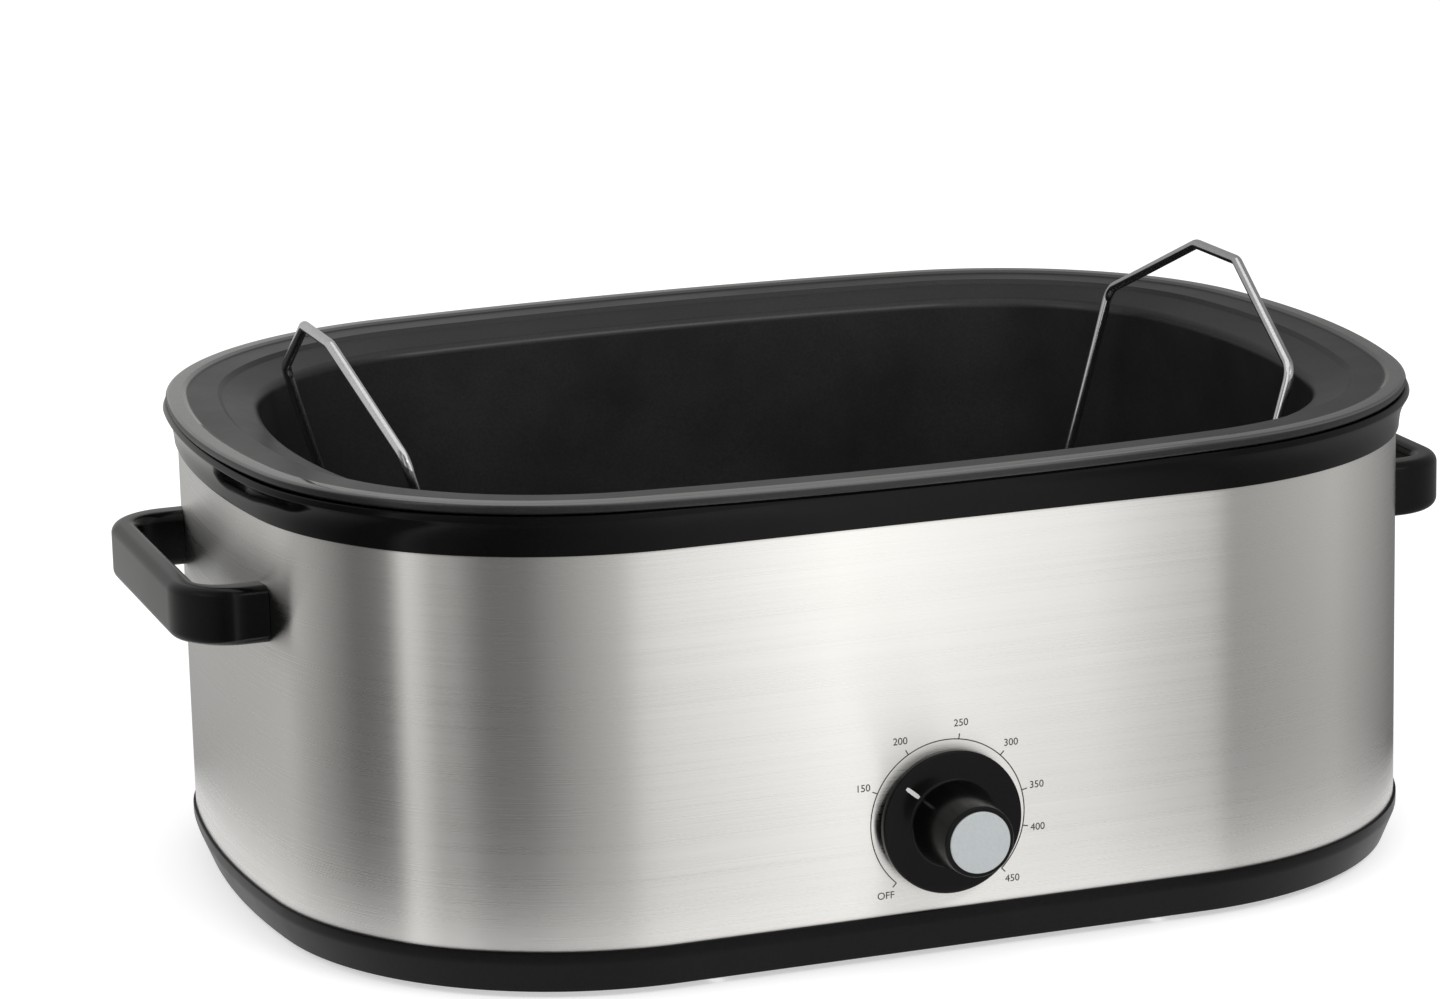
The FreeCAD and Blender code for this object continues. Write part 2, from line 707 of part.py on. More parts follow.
def make_heating_well():
    """The inner liner that the pan hangs in, with a flange under the collar."""
    body = new_body("heating_well")
    outside = "(-" + PAN_OPENING + " + pan_sheet + well_gap)"
    flange_top = "(" + COLLAR_TOP + " - collar_shell)"
    floor_in = "(" + outside + " - well_sheet - well_floor_radius - floor_ring)"
    ring_sweep(body, PAN, [
        (outside + " + well_flange", flange_top, "0"),
        (outside + " - well_sheet", flange_top, "well_flange_radius"),
        (outside + " - well_sheet", WELL_FLOOR, "well_floor_radius"),
        (floor_in, WELL_FLOOR, "0"),
        (floor_in, WELL_FLOOR + " - well_sheet", "0"),
        (outside, WELL_FLOOR + " - well_sheet", "well_floor_radius + well_sheet"),
        (outside, flange_top + " - well_sheet", "well_flange_inner_radius"),
        (outside + " + well_flange", flange_top + " - well_sheet", "0"),
    ])
    slab(body, "heating_well_floor", PAN, floor_in + " + floor_overlap", WELL_FLOOR + " - well_sheet", "well_sheet")
    return body


WELL_OUT = "(-" + PAN_OPENING + " + pan_sheet + well_gap)"
THERMOSTAT_DEPTH = ("(case_half_depth - wall_thickness - bracket_thickness - (pan_half_depth + "
                    + WELL_OUT + ") - sensor_thickness)")


def make_heater():
    """The heating band round the well, the two straps that hold it and its two tabs."""
    heater = band("heater_band", PAN, WELL_OUT + " + heater_thickness", WELL_OUT, "heater_floor", "heater_height")
    straps = []
    outside = WELL_OUT + " + heater_thickness"
    for name, level in (("lower", "heater_floor + strap_inset"),
                        ("upper", "heater_floor + heater_height - strap_inset - strap_height")):
        straps.append(band("heater_strap_" + name, PAN, outside + " + strap_thickness", outside, level,
                           "strap_height"))
    tabs = []
    face = "-(pan_half_depth + " + outside + ")"
    for number, shift in enumerate(("0", "heater_tab_spread")):
        tabs.append(block("heater_tab_%d" % (number + 1), "heater_tab_width", "terminal_thickness",
                          "heater_tab_length", "heater_tab_side + " + shift, face + " + heater_thickness / 2",
                          "heater_floor - heater_tab_length"))
    return [heater, group("heater_straps", straps), group("heater_tabs", tabs)]


def make_blanket():
    """The glass fibre blanket just inside the steel wall."""
    ring = band("blanket_ring", CASE, "-(wall_thickness + blanket_gap)",
                "-(wall_thickness + blanket_gap + blanket_thickness)", "blanket_floor",
                WALL_TOP + " - blanket_top_gap - blanket_floor")
    holes = screw_bores("blanket_hole", "handle_screw_head_radius + cut_margin", SIGNS)
    return cut("insulation_blanket", ring, holes)


def make_handle(name, sign):
    """A loop handle, cut to sit on the curved end of the case."""
    body = new_body(name + "_handle_loop")
    sketch = new_sketch(body, name + "_handle_plan", "XY_Plane", HANDLE_FLOOR)
    root = sign + "(case_half_length - handle_reach)"
    outer = sign + "(case_half_length + handle_reach)"
    inner = sign + "(case_half_length + handle_reach - handle_grip)"
    width = "handle_half_width"
    gap = "(handle_half_width - handle_arm)"
    add_run(sketch, [
        (root, "-" + width, "0"),
        (outer, "-" + width, "handle_corner_radius"),
        (outer, width, "handle_corner_radius"),
        (root, width, "0"),
        (root, gap, "0"),
        (inner, gap, "handle_inner_radius"),
        (inner, "-" + gap, "handle_inner_radius"),
        (root, "-" + gap, "0"),
    ])
    loop = pad(body, name + "_handle_pad", sketch, "handle_height")
    top = value(HANDLE_FLOOR + " + handle_height")
    floor = value(HANDLE_FLOOR)
    end = abs(value(root))
    edges = []
    for number, edge in enumerate(loop.Shape.Edges):
        box = edge.BoundBox
        level = box.ZLength < 1e-6 and min(abs(box.ZMin - top), abs(box.ZMin - floor)) < 1e-6
        at_root = box.XLength < 1e-6 and abs(abs(box.XMin) - end) < 1e-6
        if level and not at_root:
            edges.append("Edge%d" % (number + 1))
    soft = body.newObject("PartDesign::Fillet", name + "_handle_fillet")
    soft.Base = (loop, edges)
    soft.setExpression("Radius", formula("handle_round"))
    DOC.recompute()
    seat = rod(name + "_handle_seat", "case_end_radius + handle_seat_gap", "handle_height + 2 * cut_margin",
               sign + "(case_half_length - case_end_radius)", "0", HANDLE_FLOOR + " - cut_margin")
    bores = screw_bores("handle_bore", "handle_screw_radius", [(name, sign)])
    return cut(name + "_handle", body, [seat] + bores)


def make_handle_screws():
    """Four screws from inside the wall into the ends of the handles."""
    screws = []
    for name, x in SIGNS:
        for side, y in (("front", "-"), ("back", "")):
            tag = "%s_%s" % (name, side)
            if name == "right":
                head_x = SCREW_SEAT_X + " - handle_screw_head_height"
                shank_x = SCREW_SEAT_X
            else:
                head_x = "-" + SCREW_SEAT_X
                shank_x = "-" + SCREW_SEAT_X + " - handle_screw_length"
            head = rod("handle_screw_head_" + tag, "handle_screw_head_radius", "handle_screw_head_height",
                       head_x, y + HANDLE_SCREW_Y, "handle_middle", ALONG_X)
            shank = rod("handle_screw_shank_" + tag, "handle_screw_radius", "handle_screw_length",
                        shank_x, y + HANDLE_SCREW_Y, "handle_middle", ALONG_X)
            screws.append(fuse("handle_screw_" + tag, [head, shank]))
    return group("handle_screws", screws)


def front_body(label, out="0"):
    """A body whose own +Z points out of the front, from the steel at the knob's height."""
    body = new_body(label)
    turn(body, *TO_FRONT)
    return place(body, "0", FRONT_FACE + " - (" + out + ")", "knob_height")


def revolve(body, points):
    """Turns a section of (radius, out, rounding) points about the body's own Z axis."""
    sketch = new_sketch(body, body.Name + "_section", "XZ_Plane")
    add_run(sketch, points)
    feature = body.newObject("PartDesign::Revolution", body.Name + "_turned")
    feature.Profile = sketch
    feature.ReferenceAxis = (sketch, ["V_Axis"])
    feature.Angle = 360
    DOC.recompute()
    return feature


def make_knob():
    """The control knob: a skirt disc and a fluted grip, hollow round the hub."""
    body = front_body("knob", "knob_gap")
    length = "knob_length"
    revolve(body, [
        ("shaft_radius", "shaft_knob_depth", "0"),
        ("shaft_radius", "0", "0"),
        ("knob_hub_radius", "0", "0"),
        ("knob_hub_radius", "knob_skirt_thickness", "0"),
        ("knob_skirt_radius - knob_wall", "knob_skirt_thickness - knob_skirt_shell", "0"),
        ("knob_skirt_radius - knob_wall", "0", "0"),
        ("knob_skirt_radius", "0", "0"),
        ("knob_skirt_radius", "knob_skirt_thickness", "knob_edge_radius"),
        ("knob_grip_root_radius", "knob_skirt_thickness + knob_skirt_rise", "knob_root_radius"),
        ("knob_grip_tip_radius", length, "knob_edge_radius"),
        ("cap_radius + cap_gap", length, "0"),
        ("cap_radius + cap_gap", length + " - cap_thickness + cap_proud", "0"),
        ("0", length + " - cap_thickness + cap_proud", "0"),
        ("0", "shaft_knob_depth", "0"),
    ])
    flute = new_sketch(body, "knob_flute_plan", "XY_Plane", length + " + cut_margin")
    add_circle(flute, "knob_grip_root_radius + knob_flute_shift", "0", "knob_flute_radius")
    pocket = body.newObject("PartDesign::Pocket", "knob_flute")
    pocket.Profile = flute
    pocket.setExpression("Length", formula(length + " + cut_margin - knob_skirt_thickness - knob_flute_stop"))
    DOC.recompute()
    pattern = body.newObject("PartDesign::PolarPattern", "knob_flutes")
    pattern.Originals = [pocket]
    pattern.Axis = (flute, ["N_Axis"])
    pattern.Angle = 360
    pattern.setExpression("Occurrences", formula("knob_flute_count"))
    body.Tip = pattern
    DOC.recompute()
    return body


def make_knob_cap():
    body = front_body("knob_cap", "knob_gap + knob_length - cap_thickness + cap_proud")
    revolve(body, [("0", "0", "0"), ("cap_radius", "0", "0"),
                   ("cap_radius", "cap_thickness", "cap_edge_radius"), ("0", "cap_thickness", "0")])
    return body


def make_thermostat():
    """Thermostat behind the front wall, its shaft in a bushing, and what carries it."""
    inside = "(wall_thickness + bracket_thickness)"
    shaft = rod("thermostat_shaft", "shaft_radius", "shaft_knob_depth + knob_gap + " + inside + " + shaft_tail",
                "0", FRONT_FACE + " + " + inside + " + shaft_tail", "knob_height", TO_FRONT)
    neck = rod("bushing_neck", "bushing_radius", "bushing_proud + " + inside, "0",
               FRONT_FACE + " + " + inside, "knob_height", TO_FRONT)
    bore = rod("bushing_bore", "shaft_radius + shaft_running_gap", "bore_length", "0", FRONT_BORE,
               "knob_height", TO_FRONT)
    bushing = cut("thermostat_bushing", neck, [bore])
    across_corners = "nut_across / 2 / cos(30 deg)"
    nut_prism = DOC.addObject("Part::Prism", "nut_prism")
    nut_prism.Polygon = 6
    nut_prism.setExpression("Circumradius", formula(across_corners))
    nut_prism.setExpression("Height", formula("nut_thickness"))
    turn(nut_prism, *TO_FRONT)
    place(nut_prism, "0", FRONT_FACE, "knob_height")
    nut_bore = rod("nut_bore", "bushing_radius", "bore_length", "0", FRONT_BORE, "knob_height", TO_FRONT)
    nut = cut("thermostat_nut", nut_prism, [nut_bore])
    plate = block("bracket_plate", "bracket_width", "bracket_thickness", "bracket_tall", "-bracket_width / 2",
                  FRONT_FACE + " + wall_thickness", "knob_height - bracket_tall / 2")
    hole = rod("bracket_hole", "bushing_radius", "bore_length", "0", FRONT_BORE, "knob_height", TO_FRONT)
    bracket = cut("thermostat_bracket", plate, [hole])
    case_box = block("thermostat_box", "thermostat_width", THERMOSTAT_DEPTH, "thermostat_tall",
                     "-thermostat_width / 2", FRONT_FACE + " + " + inside, "knob_height - thermostat_tall / 2")
    room = rod("thermostat_room", "shaft_radius + shaft_room", "bore_length", "0", FRONT_FACE + " + " + inside
               + " + shaft_tail + shaft_end_room", "knob_height", TO_FRONT)
    case = cut("thermostat_body", case_box, [room])
    terminals = []
    for name, x in SIGNS:
        start = "terminal_spread / 2" if name == "right" else "-terminal_spread / 2 - terminal_width"
        terminals.append(block("thermostat_terminal_" + name, "terminal_width", "terminal_thickness",
                               "terminal_length", start, FRONT_FACE + " + " + inside + " + terminal_inset",
                               "knob_height - thermostat_tall / 2 - terminal_length"))
    sensor = block("sensor_strip", "sensor_width", "sensor_thickness",
                   "heater_floor - knob_height - sensor_gap - sensor_lift", "-sensor_width / 2",
                   FRONT_FACE + " + " + inside + " + " + THERMOSTAT_DEPTH, "knob_height + sensor_lift")
    sensor.Label = "thermostat_sensor"
    band_outside = rod("clip_outside", "knob_hub_radius + clip_thickness", "clip_width",
                       "0", FRONT_FACE + " - knob_gap", "knob_height", TO_FRONT)
    band_inside = rod("clip_inside", "knob_hub_radius", "bore_length", "0", FRONT_BORE, "knob_height", TO_FRONT)
    clip_ring = cut("knob_clip", band_outside, [band_inside])
    return [shaft, bushing, nut, bracket, case, group("thermostat_terminals", terminals), sensor, clip_ring]


def make_cord_inlet():
    """The rubber grommet in the back wall that the supply lead passes through."""
    neck = rod("grommet_neck", "grommet_neck_radius", "wall_thickness + 2 * grommet_flange_thickness",
               "inlet_side", INLET_SEAT_Y + " - wall_thickness - grommet_flange_thickness", "inlet_height", TO_BACK)
    outer = rod("grommet_outer", "grommet_flange_radius", "grommet_flange_thickness",
                "inlet_side", INLET_SEAT_Y, "inlet_height", TO_BACK)
    inner = rod("grommet_inner", "grommet_flange_radius", "grommet_flange_thickness", "inlet_side",
                INLET_SEAT_Y + " - wall_thickness - grommet_flange_thickness", "inlet_height", TO_BACK)
    solid = fuse("grommet_solid", [neck, outer, inner])
    bore = rod("grommet_bore", "inlet_bore_radius", "bore_length", "inlet_side", INLET_BORE,
               "inlet_height", TO_BACK)
    return cut("cord_grommet", solid, [bore])


def make_wiring():
    """The terminal block on the bottom plate and the thermal fuse under the well."""
    terminal = block("terminal_block", "block_length", "block_width", "block_tall",
                     "inlet_side - block_length / 2", "block_back", PLATE_TOP)
    terminal.Label = "terminal_block"
    level = "(" + WELL_FLOOR + " - well_sheet - fuse_radius)"
    fuse_rod = rod("thermal_fuse", "fuse_radius", "fuse_length", "fuse_side - fuse_length / 2", "fuse_back",
                   level, ALONG_X)
    fuse_rod.Label = "thermal_fuse"
    saddle = block("fuse_saddle", "fuse_clip_width", "2 * fuse_radius + 2 * fuse_clip_thickness",
                   "2 * fuse_radius + fuse_clip_thickness", "fuse_side - fuse_clip_width / 2",
                   "fuse_back - fuse_radius - fuse_clip_thickness", level + " - fuse_radius - fuse_clip_thickness")
    room = rod("fuse_room", "fuse_radius", "bore_length", "fuse_side - bore_length / 2", "fuse_back",
               level, ALONG_X)
    mouth = block("fuse_mouth", "bore_length", "fuse_clip_mouth", "bore_length", "fuse_side - bore_length / 2",
                  "fuse_back - fuse_clip_mouth / 2", level)
    return [terminal, fuse_rod, cut("fuse_clip", saddle, [room, mouth])]


def wire_body(label, plane, points, radius, closed):
    """A wire of one thickness along straight runs with rounded bends."""
    body = new_body(label)
    path = new_sketch(body, label + "_path", plane)
    add_run(path, points, closed)
    DOC.recompute()
    start = path.Shape.Edges[0].firstVertex().Point
    along = path.Shape.Edges[0].tangentAt(path.Shape.Edges[0].FirstParameter)
    round_end = new_sketch(body, label + "_round", "XZ_Plane" if abs(along.y) > 0.5 else "YZ_Plane")
    if abs(along.y) > 0.5:
        round_end.setExpression("AttachmentOffset.Base.z", formula("-(" + points[0][0] + ")"))
        add_circle(round_end, "0", "0" if plane == "XY_Plane" else points[0][1], radius)
    else:
        round_end.setExpression("AttachmentOffset.Base.z", formula(points[0][0]))
        add_circle(round_end, points[0][1], "0", radius)
    DOC.recompute()
    sweep = body.newObject("PartDesign::AdditivePipe", label + "_sweep")
    sweep.Profile = round_end
    sweep.Spine = (path, ["Edge%d" % (n + 1) for n in range(len(path.Shape.Edges))])
    DOC.recompute()
    wanted = math.pi * value(radius) ** 2 * path.Shape.Length
    print("%s: swept volume %.0f, section times length %.0f" % (label, sweep.Shape.Volume, wanted))
    return body


EYE_MIDDLE = "bail_half_width + bail_pin_bend_radius + eye_side_gap + eye_length / 2"


def make_rack():
    """The wire rack: a frame, cross wires under it, two rails, four feet and four hinge eyes."""
    half = "rack_half_length"
    deep = "rack_half_depth"
    frame = wire_body("rack_frame", "XY_Plane", [
        ("0", "-" + deep, "0"), (half, "-" + deep, "rack_corner_radius"), (half, deep, "rack_corner_radius"),
        ("-" + half, deep, "rack_corner_radius"), ("-" + half, "-" + deep, "rack_corner_radius"),
    ], "wire_radius", True)
    place(frame, "0", "0", RACK_LEVEL)
    pieces = [frame]
    wires = int(round(2 * value("bail_hinge_side") / value("rack_wire_pitch")))
    for number in range(wires + 1):
        across = "-bail_hinge_side + %d * 2 * bail_hinge_side / %d" % (number, wires)
        pieces.append(rod("rack_wire_%d" % number, "rack_wire_radius", "2 * rack_half_depth",
                          across, "rack_half_depth", RACK_LEVEL, TO_FRONT))
    for name, y in (("front", "-"), ("back", "")):
        pieces.append(rod("rack_rail_" + name, "rack_wire_radius", "2 * rack_half_length", "-rack_half_length",
                          y + "rack_rail_spread", RACK_LEVEL + " - 2 * rack_wire_radius + eye_weld", ALONG_X))
    for name, x, y in CORNERS:
        pieces.append(rod("rack_foot_" + name, "rack_wire_radius", "rack_stand - pan_seat_gap",
                          x + "(rack_half_length - rack_corner_radius - rack_foot_inset)",
                          y + "rack_half_depth", PAN_FLOOR + " + pan_seat_gap"))
        start = y + "(" + EYE_MIDDLE + ") - eye_length / 2"
        pieces.append(rod("rack_eye_" + name, "eye_radius", "eye_length", x + "bail_hinge_side", start,
                          HINGE_LEVEL, TO_BACK))
    solid = fuse("rack_welded", pieces)
    bores = [rod("rack_eye_bore_" + name, "wire_radius + shaft_running_gap", "eye_length + 2 * cut_margin",
                 x + "bail_hinge_side", y + "(" + EYE_MIDDLE + ") - eye_length / 2 - cut_margin",
                 HINGE_LEVEL, TO_BACK) for name, x, y in CORNERS]
    return cut("roasting_rack", solid, bores)


def make_bail(name, sign):
    """A tall wire bail: its ends are pins in the rack's eyes, its top a raised grip."""
    top = "(bail_leg + bail_rise)"
    wide = "bail_half_width"
    body = wire_body(name + "_bail", "YZ_Plane", [
        ("-" + wide + " - bail_pin", "0", "0"),
        ("-" + wide, "0", "bail_pin_bend_radius"),
        ("-" + wide, "bail_leg", "bail_bend_radius"),
        ("-bail_grip_half", top, "bail_bend_radius"),
        ("bail_grip_half", top, "bail_bend_radius"),
        (wide, "bail_leg", "bail_bend_radius"),
        (wide, "0", "bail_pin_bend_radius"),
        (wide + " + bail_pin", "0", "0"),
    ], "wire_radius", False)
    turn(body, FreeCAD.Vector(0, 1 if name == "right" else -1, 0), value("bail_lean"))
    body.setExpression("Placement.Rotation.Angle", formula("bail_lean") + " * 1 deg")
    return place(body, sign + "bail_hinge_side", "0", HINGE_LEVEL)


def check(pieces):
    """Stops if any object failed or any piece has no good solid."""
    for item in DOC.Objects:
        if "Invalid" in item.State or "Error" in item.State:
            raise RuntimeError("failed object: " + item.Name)
    for piece in pieces:
        shape = piece.Shape
        if shape.isNull() or not shape.isValid() or not shape.Solids:
            raise RuntimeError("bad solid: " + piece.Label)
        print("%-22s %d solid(s) %10.0f mm3" % (piece.Label, len(shape.Solids), shape.Volume))


def main():
    fill_sheet()
    pieces = [make_base_skirt(), make_bottom_plate(), make_feet(), make_base_screws(), make_case_wall(),
              make_rim_collar(), make_roasting_pan(), make_heating_well()]
    pieces += make_heater()
    pieces.append(make_blanket())
    pieces += [make_handle(name, sign) for name, sign in SIGNS]
    pieces.append(make_handle_screws())
    pieces += [make_knob(), make_knob_cap()]
    pieces += make_thermostat()
    pieces.append(make_cord_inlet())
    pieces += make_wiring()
    pieces.append(make_rack())
    pieces += [make_bail(name, sign) for name, sign in SIGNS]
    DOC.recompute()
    check(pieces)
    os.makedirs("parts", exist_ok=True)
    for piece in pieces:
        piece.Shape.exportStep("parts/" + piece.Label + ".step")


main()
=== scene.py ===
import math

import bmesh
import bpy
from mathutils import Matrix, Vector


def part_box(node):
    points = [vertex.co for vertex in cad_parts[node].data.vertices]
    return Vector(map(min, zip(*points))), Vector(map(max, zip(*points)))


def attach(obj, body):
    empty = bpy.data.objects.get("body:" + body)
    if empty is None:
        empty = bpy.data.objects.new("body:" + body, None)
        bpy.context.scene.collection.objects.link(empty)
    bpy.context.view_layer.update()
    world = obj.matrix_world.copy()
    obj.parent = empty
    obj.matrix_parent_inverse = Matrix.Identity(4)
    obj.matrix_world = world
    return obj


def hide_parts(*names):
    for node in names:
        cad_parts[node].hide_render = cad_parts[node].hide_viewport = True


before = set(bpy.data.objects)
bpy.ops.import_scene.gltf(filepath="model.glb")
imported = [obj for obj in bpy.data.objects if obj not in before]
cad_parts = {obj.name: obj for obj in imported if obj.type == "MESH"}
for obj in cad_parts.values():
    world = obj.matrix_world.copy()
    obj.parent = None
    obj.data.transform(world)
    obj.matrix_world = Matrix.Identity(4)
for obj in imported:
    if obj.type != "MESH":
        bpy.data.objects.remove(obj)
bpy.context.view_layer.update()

MM = 0.001

# The camera, placed as the photograph was taken
CAMERA_AZIMUTH = math.radians(-18.83)
CAMERA_ELEVATION = math.radians(13.68)
CAMERA_ROLL = math.radians(-1.43)
CAMERA_DISTANCE = 2.2532
CAMERA_TARGET = Vector((-0.0307, 0.0, 0.1583))
CAMERA_LENS = 125.83

# Outlines: the case pieces share one, and the pan has its own
CASE_CORNER_RADIUS = 142 * MM
CASE_END_RADIUS = 500 * MM
PAN_CORNER_RADIUS = 150 * MM
PAN_END_RADIUS = 400 * MM
PAN_SIDE_RADIUS = 1200 * MM
OUTLINE_STEP = 5 * MM

# Steel wall, and the gap that seats it in the skirt and in the collar
WALL_THICKNESS = 0.8 * MM
SEAT_GAP = 0.1 * MM

# Base skirt
SKIRT_PROUD = 1.2 * MM
SKIRT_LIP_RADIUS = 0.5 * MM
SKIRT_LIP_HEIGHT = 5 * MM
SKIRT_BEND_RADIUS = 6 * MM
SKIRT_TUCK = 4.5 * MM
SKIRT_EDGE_RADIUS = 1.2 * MM
SKIRT_SHELF = 16 * MM
SKIRT_WALL = 2.5 * MM
SKIRT_SEAT_DEPTH = 6 * MM

# Rim collar
COLLAR_LIP = 2.5 * MM
COLLAR_LIP_THICKNESS = 1.2 * MM
COLLAR_FOOT_RADIUS = 0.6 * MM
COLLAR_SWELL = 0.8 * MM
COLLAR_SWEEP_RADIUS = 22 * MM
COLLAR_FLARE = 6 * MM
COLLAR_SHOULDER_RADIUS = 1 * MM
COLLAR_EDGE_DROP = 2.5 * MM
COLLAR_EDGE_TUCK = 1 * MM
COLLAR_EDGE_RADIUS = 1.2 * MM
COLLAR_FLANGE = 10 * MM
COLLAR_SHELL = 2 * MM

# Roasting pan
PAN_SHEET = 1.4 * MM
PAN_BEAD = 4.6 * MM
PAN_BEAD_RADIUS = 0.46 * PAN_BEAD
PAN_BEAD_WIDTH = 1.6 * PAN_BEAD
PAN_BEAD_FOOT = 2.2 * PAN_BEAD
PAN_BEAD_DROP = 0.3 * PAN_BEAD
PAN_FOLD_RADIUS = 1.2 * MM
PAN_LAND_END = 23 * MM
PAN_STEP_WIDTH = 2 * MM
PAN_STEP_DROP = 2 * MM
PAN_STEP_RADIUS = 0.6 * MM
PAN_BAND_DROP = 5 * MM
PAN_OPENING = 41 * MM
PAN_LIP_RADIUS = 5 * MM
PAN_LIP_INNER_RADIUS = 3 * MM
PAN_WALL_DRAFT = 6 * MM
PAN_FLOOR_RADIUS = 34 * MM
PAN_FLOOR_RING = 40 * MM
PAN_UNDER_STEP = 24.5 * MM
BEAD_SHINE_START = 0.3 * MM
BEAD_SHINE_FADE = 0.4 * MM
BEAD_SHINE_IOR = 2.0

# The dial round the knob, angles anticlockwise from the right as seen from the front
DIAL_RADIUS = 34.5 * MM
DIAL_LINE = 0.45 * MM
DIAL_STEPS = 96
DIAL_MARKS = {
    "OFF": 227, "150": 155, "200": 120, "250": 81,
    "300": 46, "350": 14, "400": -12, "450": -46,
}
DIAL_FIRST = DIAL_MARKS["OFF"]
DIAL_LAST = DIAL_MARKS["450"]
TICK_LENGTH = 2.4 * MM
NUMBER_RADIUS = 41.5 * MM
NUMBER_SIZE = 4.4 * MM
INK_THICKNESS = 0.08 * MM

# The white mark on the knob's disc, whose face lies behind the knob's front and slopes a little
POINTER_ANGLE = math.radians(140)
POINTER_INNER = 20 * MM
POINTER_OUTER = 27 * MM
POINTER_WIDTH = 1.8 * MM
POINTER_THICKNESS = 0.3 * MM
POINTER_LIFT = 0.4 * MM
POINTER_EDGE_SHARE = 0.12
DISC_DEPTH = 29.8 * MM
DISC_SLOPE = math.radians(3.66)

# The rack and its bails
WIRE_RADIUS = 2.3 * MM
THIN_WIRE_RADIUS = 2 * MM
WIRE_SIDES = 20
CROSS_WIRES = 10
RACK_STAND = 11.7 * MM
RACK_CORNER_RADIUS = 45 * MM
RAIL_SPREAD = 46 * MM
RAIL_DROP = 3.7 * MM
FOOT_SIDE = 123 * MM
HINGE_SIDE = 160 * MM
EYE_RADIUS = 4.3 * MM
EYE_BORE = 2.35 * MM
EYE_LENGTH = 8 * MM
EYE_DEEP = 109.3 * MM
EYE_STEPS = 36
EYE_OUTER_ROUNDING = 0.5 * MM
EYE_INNER_ROUNDING = 0.3 * MM
BAIL_HALF_WIDTH = 100 * MM
BAIL_LEG = 155 * MM
BAIL_RISE = 36 * MM
BAIL_HALF_GRIP = 22 * MM
BAIL_PIN = 14 * MM
BAIL_FOOT_BEND = 4.5 * MM
BAIL_TOP_BEND = 9 * MM
BAIL_LEAN = math.radians(16)

# Smooth shading keeps edges that turn by more than these degrees
SWEPT_EDGE = 35
CAD_EDGE = 30
WIRE_EDGE = 50

# Studio
FLOOR_HALF_SIZE = 20
FLOOR_LIFT = 0.5
WORLD_LIGHT = 0.75
LAMP_AIM = (0, 0, 0.1)

# Reflection cards in a ring round the object: where each stands, in degrees from the front towards
# the right, and how bright it is. The light fades evenly from one card to the next.
CARD_DISTANCE = 60 * MM
CARD_THICKNESS = 4 * MM
CARD_HEIGHT = 0.6
CARD_FULL_HEIGHT = 0.2
CARD_FOOT_SHARE = 0.7
CARD_BLUE = 0.985
BACK_CARD = (-180, 0.4)
LEFT_CARD = (-85, 0.65)
LEFT_FLAG = (-68, 0.15)
STRIP_EDGE = (-62, 0.2)
STRIP_LIGHT = (-59, 0.8)
STRIP_FAR_EDGE = (-55, 0.35)
MIDDLE_FLAG = (-47, 0.17)
FLAG_EDGE = (-42, 0.2)
FRONT_EDGE = (-27, 0.65)
FRONT_SOFTBOX = (-5, 1.25)
FRONT_FAR_EDGE = (20, 0.95)
RIGHT_FLAG = (34, 0.4)
RIGHT_CARD = (55, 0.6)
END_FLAG = (80, 0.25)
BACK_AGAIN = (180, BACK_CARD[1])
CARDS = (
    BACK_CARD, LEFT_CARD, LEFT_FLAG, STRIP_EDGE, STRIP_LIGHT, STRIP_FAR_EDGE, MIDDLE_FLAG, FLAG_EDGE,
    FRONT_EDGE, FRONT_SOFTBOX, FRONT_FAR_EDGE, RIGHT_FLAG, RIGHT_CARD, END_FLAG, BACK_AGAIN,
)


def low(node):
    """The lower corner of a CAD node's box."""
    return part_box(node)[0]


def high(node):
    """The upper corner of a CAD node's box."""
    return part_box(node)[1]


def new_object(name, mesh):
    """An object in the scene for a mesh, lamp, camera or text."""
    obj = bpy.data.objects.new(name, mesh)
    bpy.context.scene.collection.objects.link(obj)
    return obj


def smooth(mesh, angle):
    """Smooth shading, with edges sharper than the angle kept crisp."""
    mesh.polygons.foreach_set("use_smooth", [True] * len(mesh.polygons))
    mesh.set_sharp_from_angle(angle=math.radians(angle))


def finish_piece(obj, body, material, slot, *nodes):
    """Gives a piece its material and its body, and hides the nodes it stands for. Its slot is not used."""
    obj.data.materials.clear()
    obj.data.materials.append(material)
    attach(obj, body)
    if nodes:
        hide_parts(*nodes)
    return obj


def as_mesh(mesh, name):
    """A bmesh as plain mesh data; the bmesh itself goes."""
    data = bpy.data.meshes.new(name)
    mesh.to_mesh(data)
    mesh.free()
    return data


def made_mesh(obj, name):
    """The evaluated mesh of an object, as a plain mesh; the object itself goes."""
    bpy.context.view_layer.update()
    evaluated = obj.evaluated_get(bpy.context.evaluated_depsgraph_get())
    data = bpy.data.meshes.new_from_object(evaluated)
    data.name = name
    bpy.data.objects.remove(obj)
    return data


# Shader groups

def new_group(name, inputs, outputs):
    """An empty shader group with its named sockets."""
    group = bpy.data.node_groups.new(name, "ShaderNodeTree")
    for kind, label, default in inputs:
        socket = group.interface.new_socket(name=label, in_out="INPUT", socket_type=kind)
        if default is not None:
            socket.default_value = default
    for kind, label in outputs:
        group.interface.new_socket(name=label, in_out="OUTPUT", socket_type=kind)
    return group, group.nodes.new("NodeGroupInput"), group.nodes.new("NodeGroupOutput")


def set_or_link(tree, socket, value):
    """Links a socket to another one, or sets it to a number."""
    if isinstance(value, bpy.types.NodeSocket):
        tree.links.new(value, socket)
    else:
        socket.default_value = value


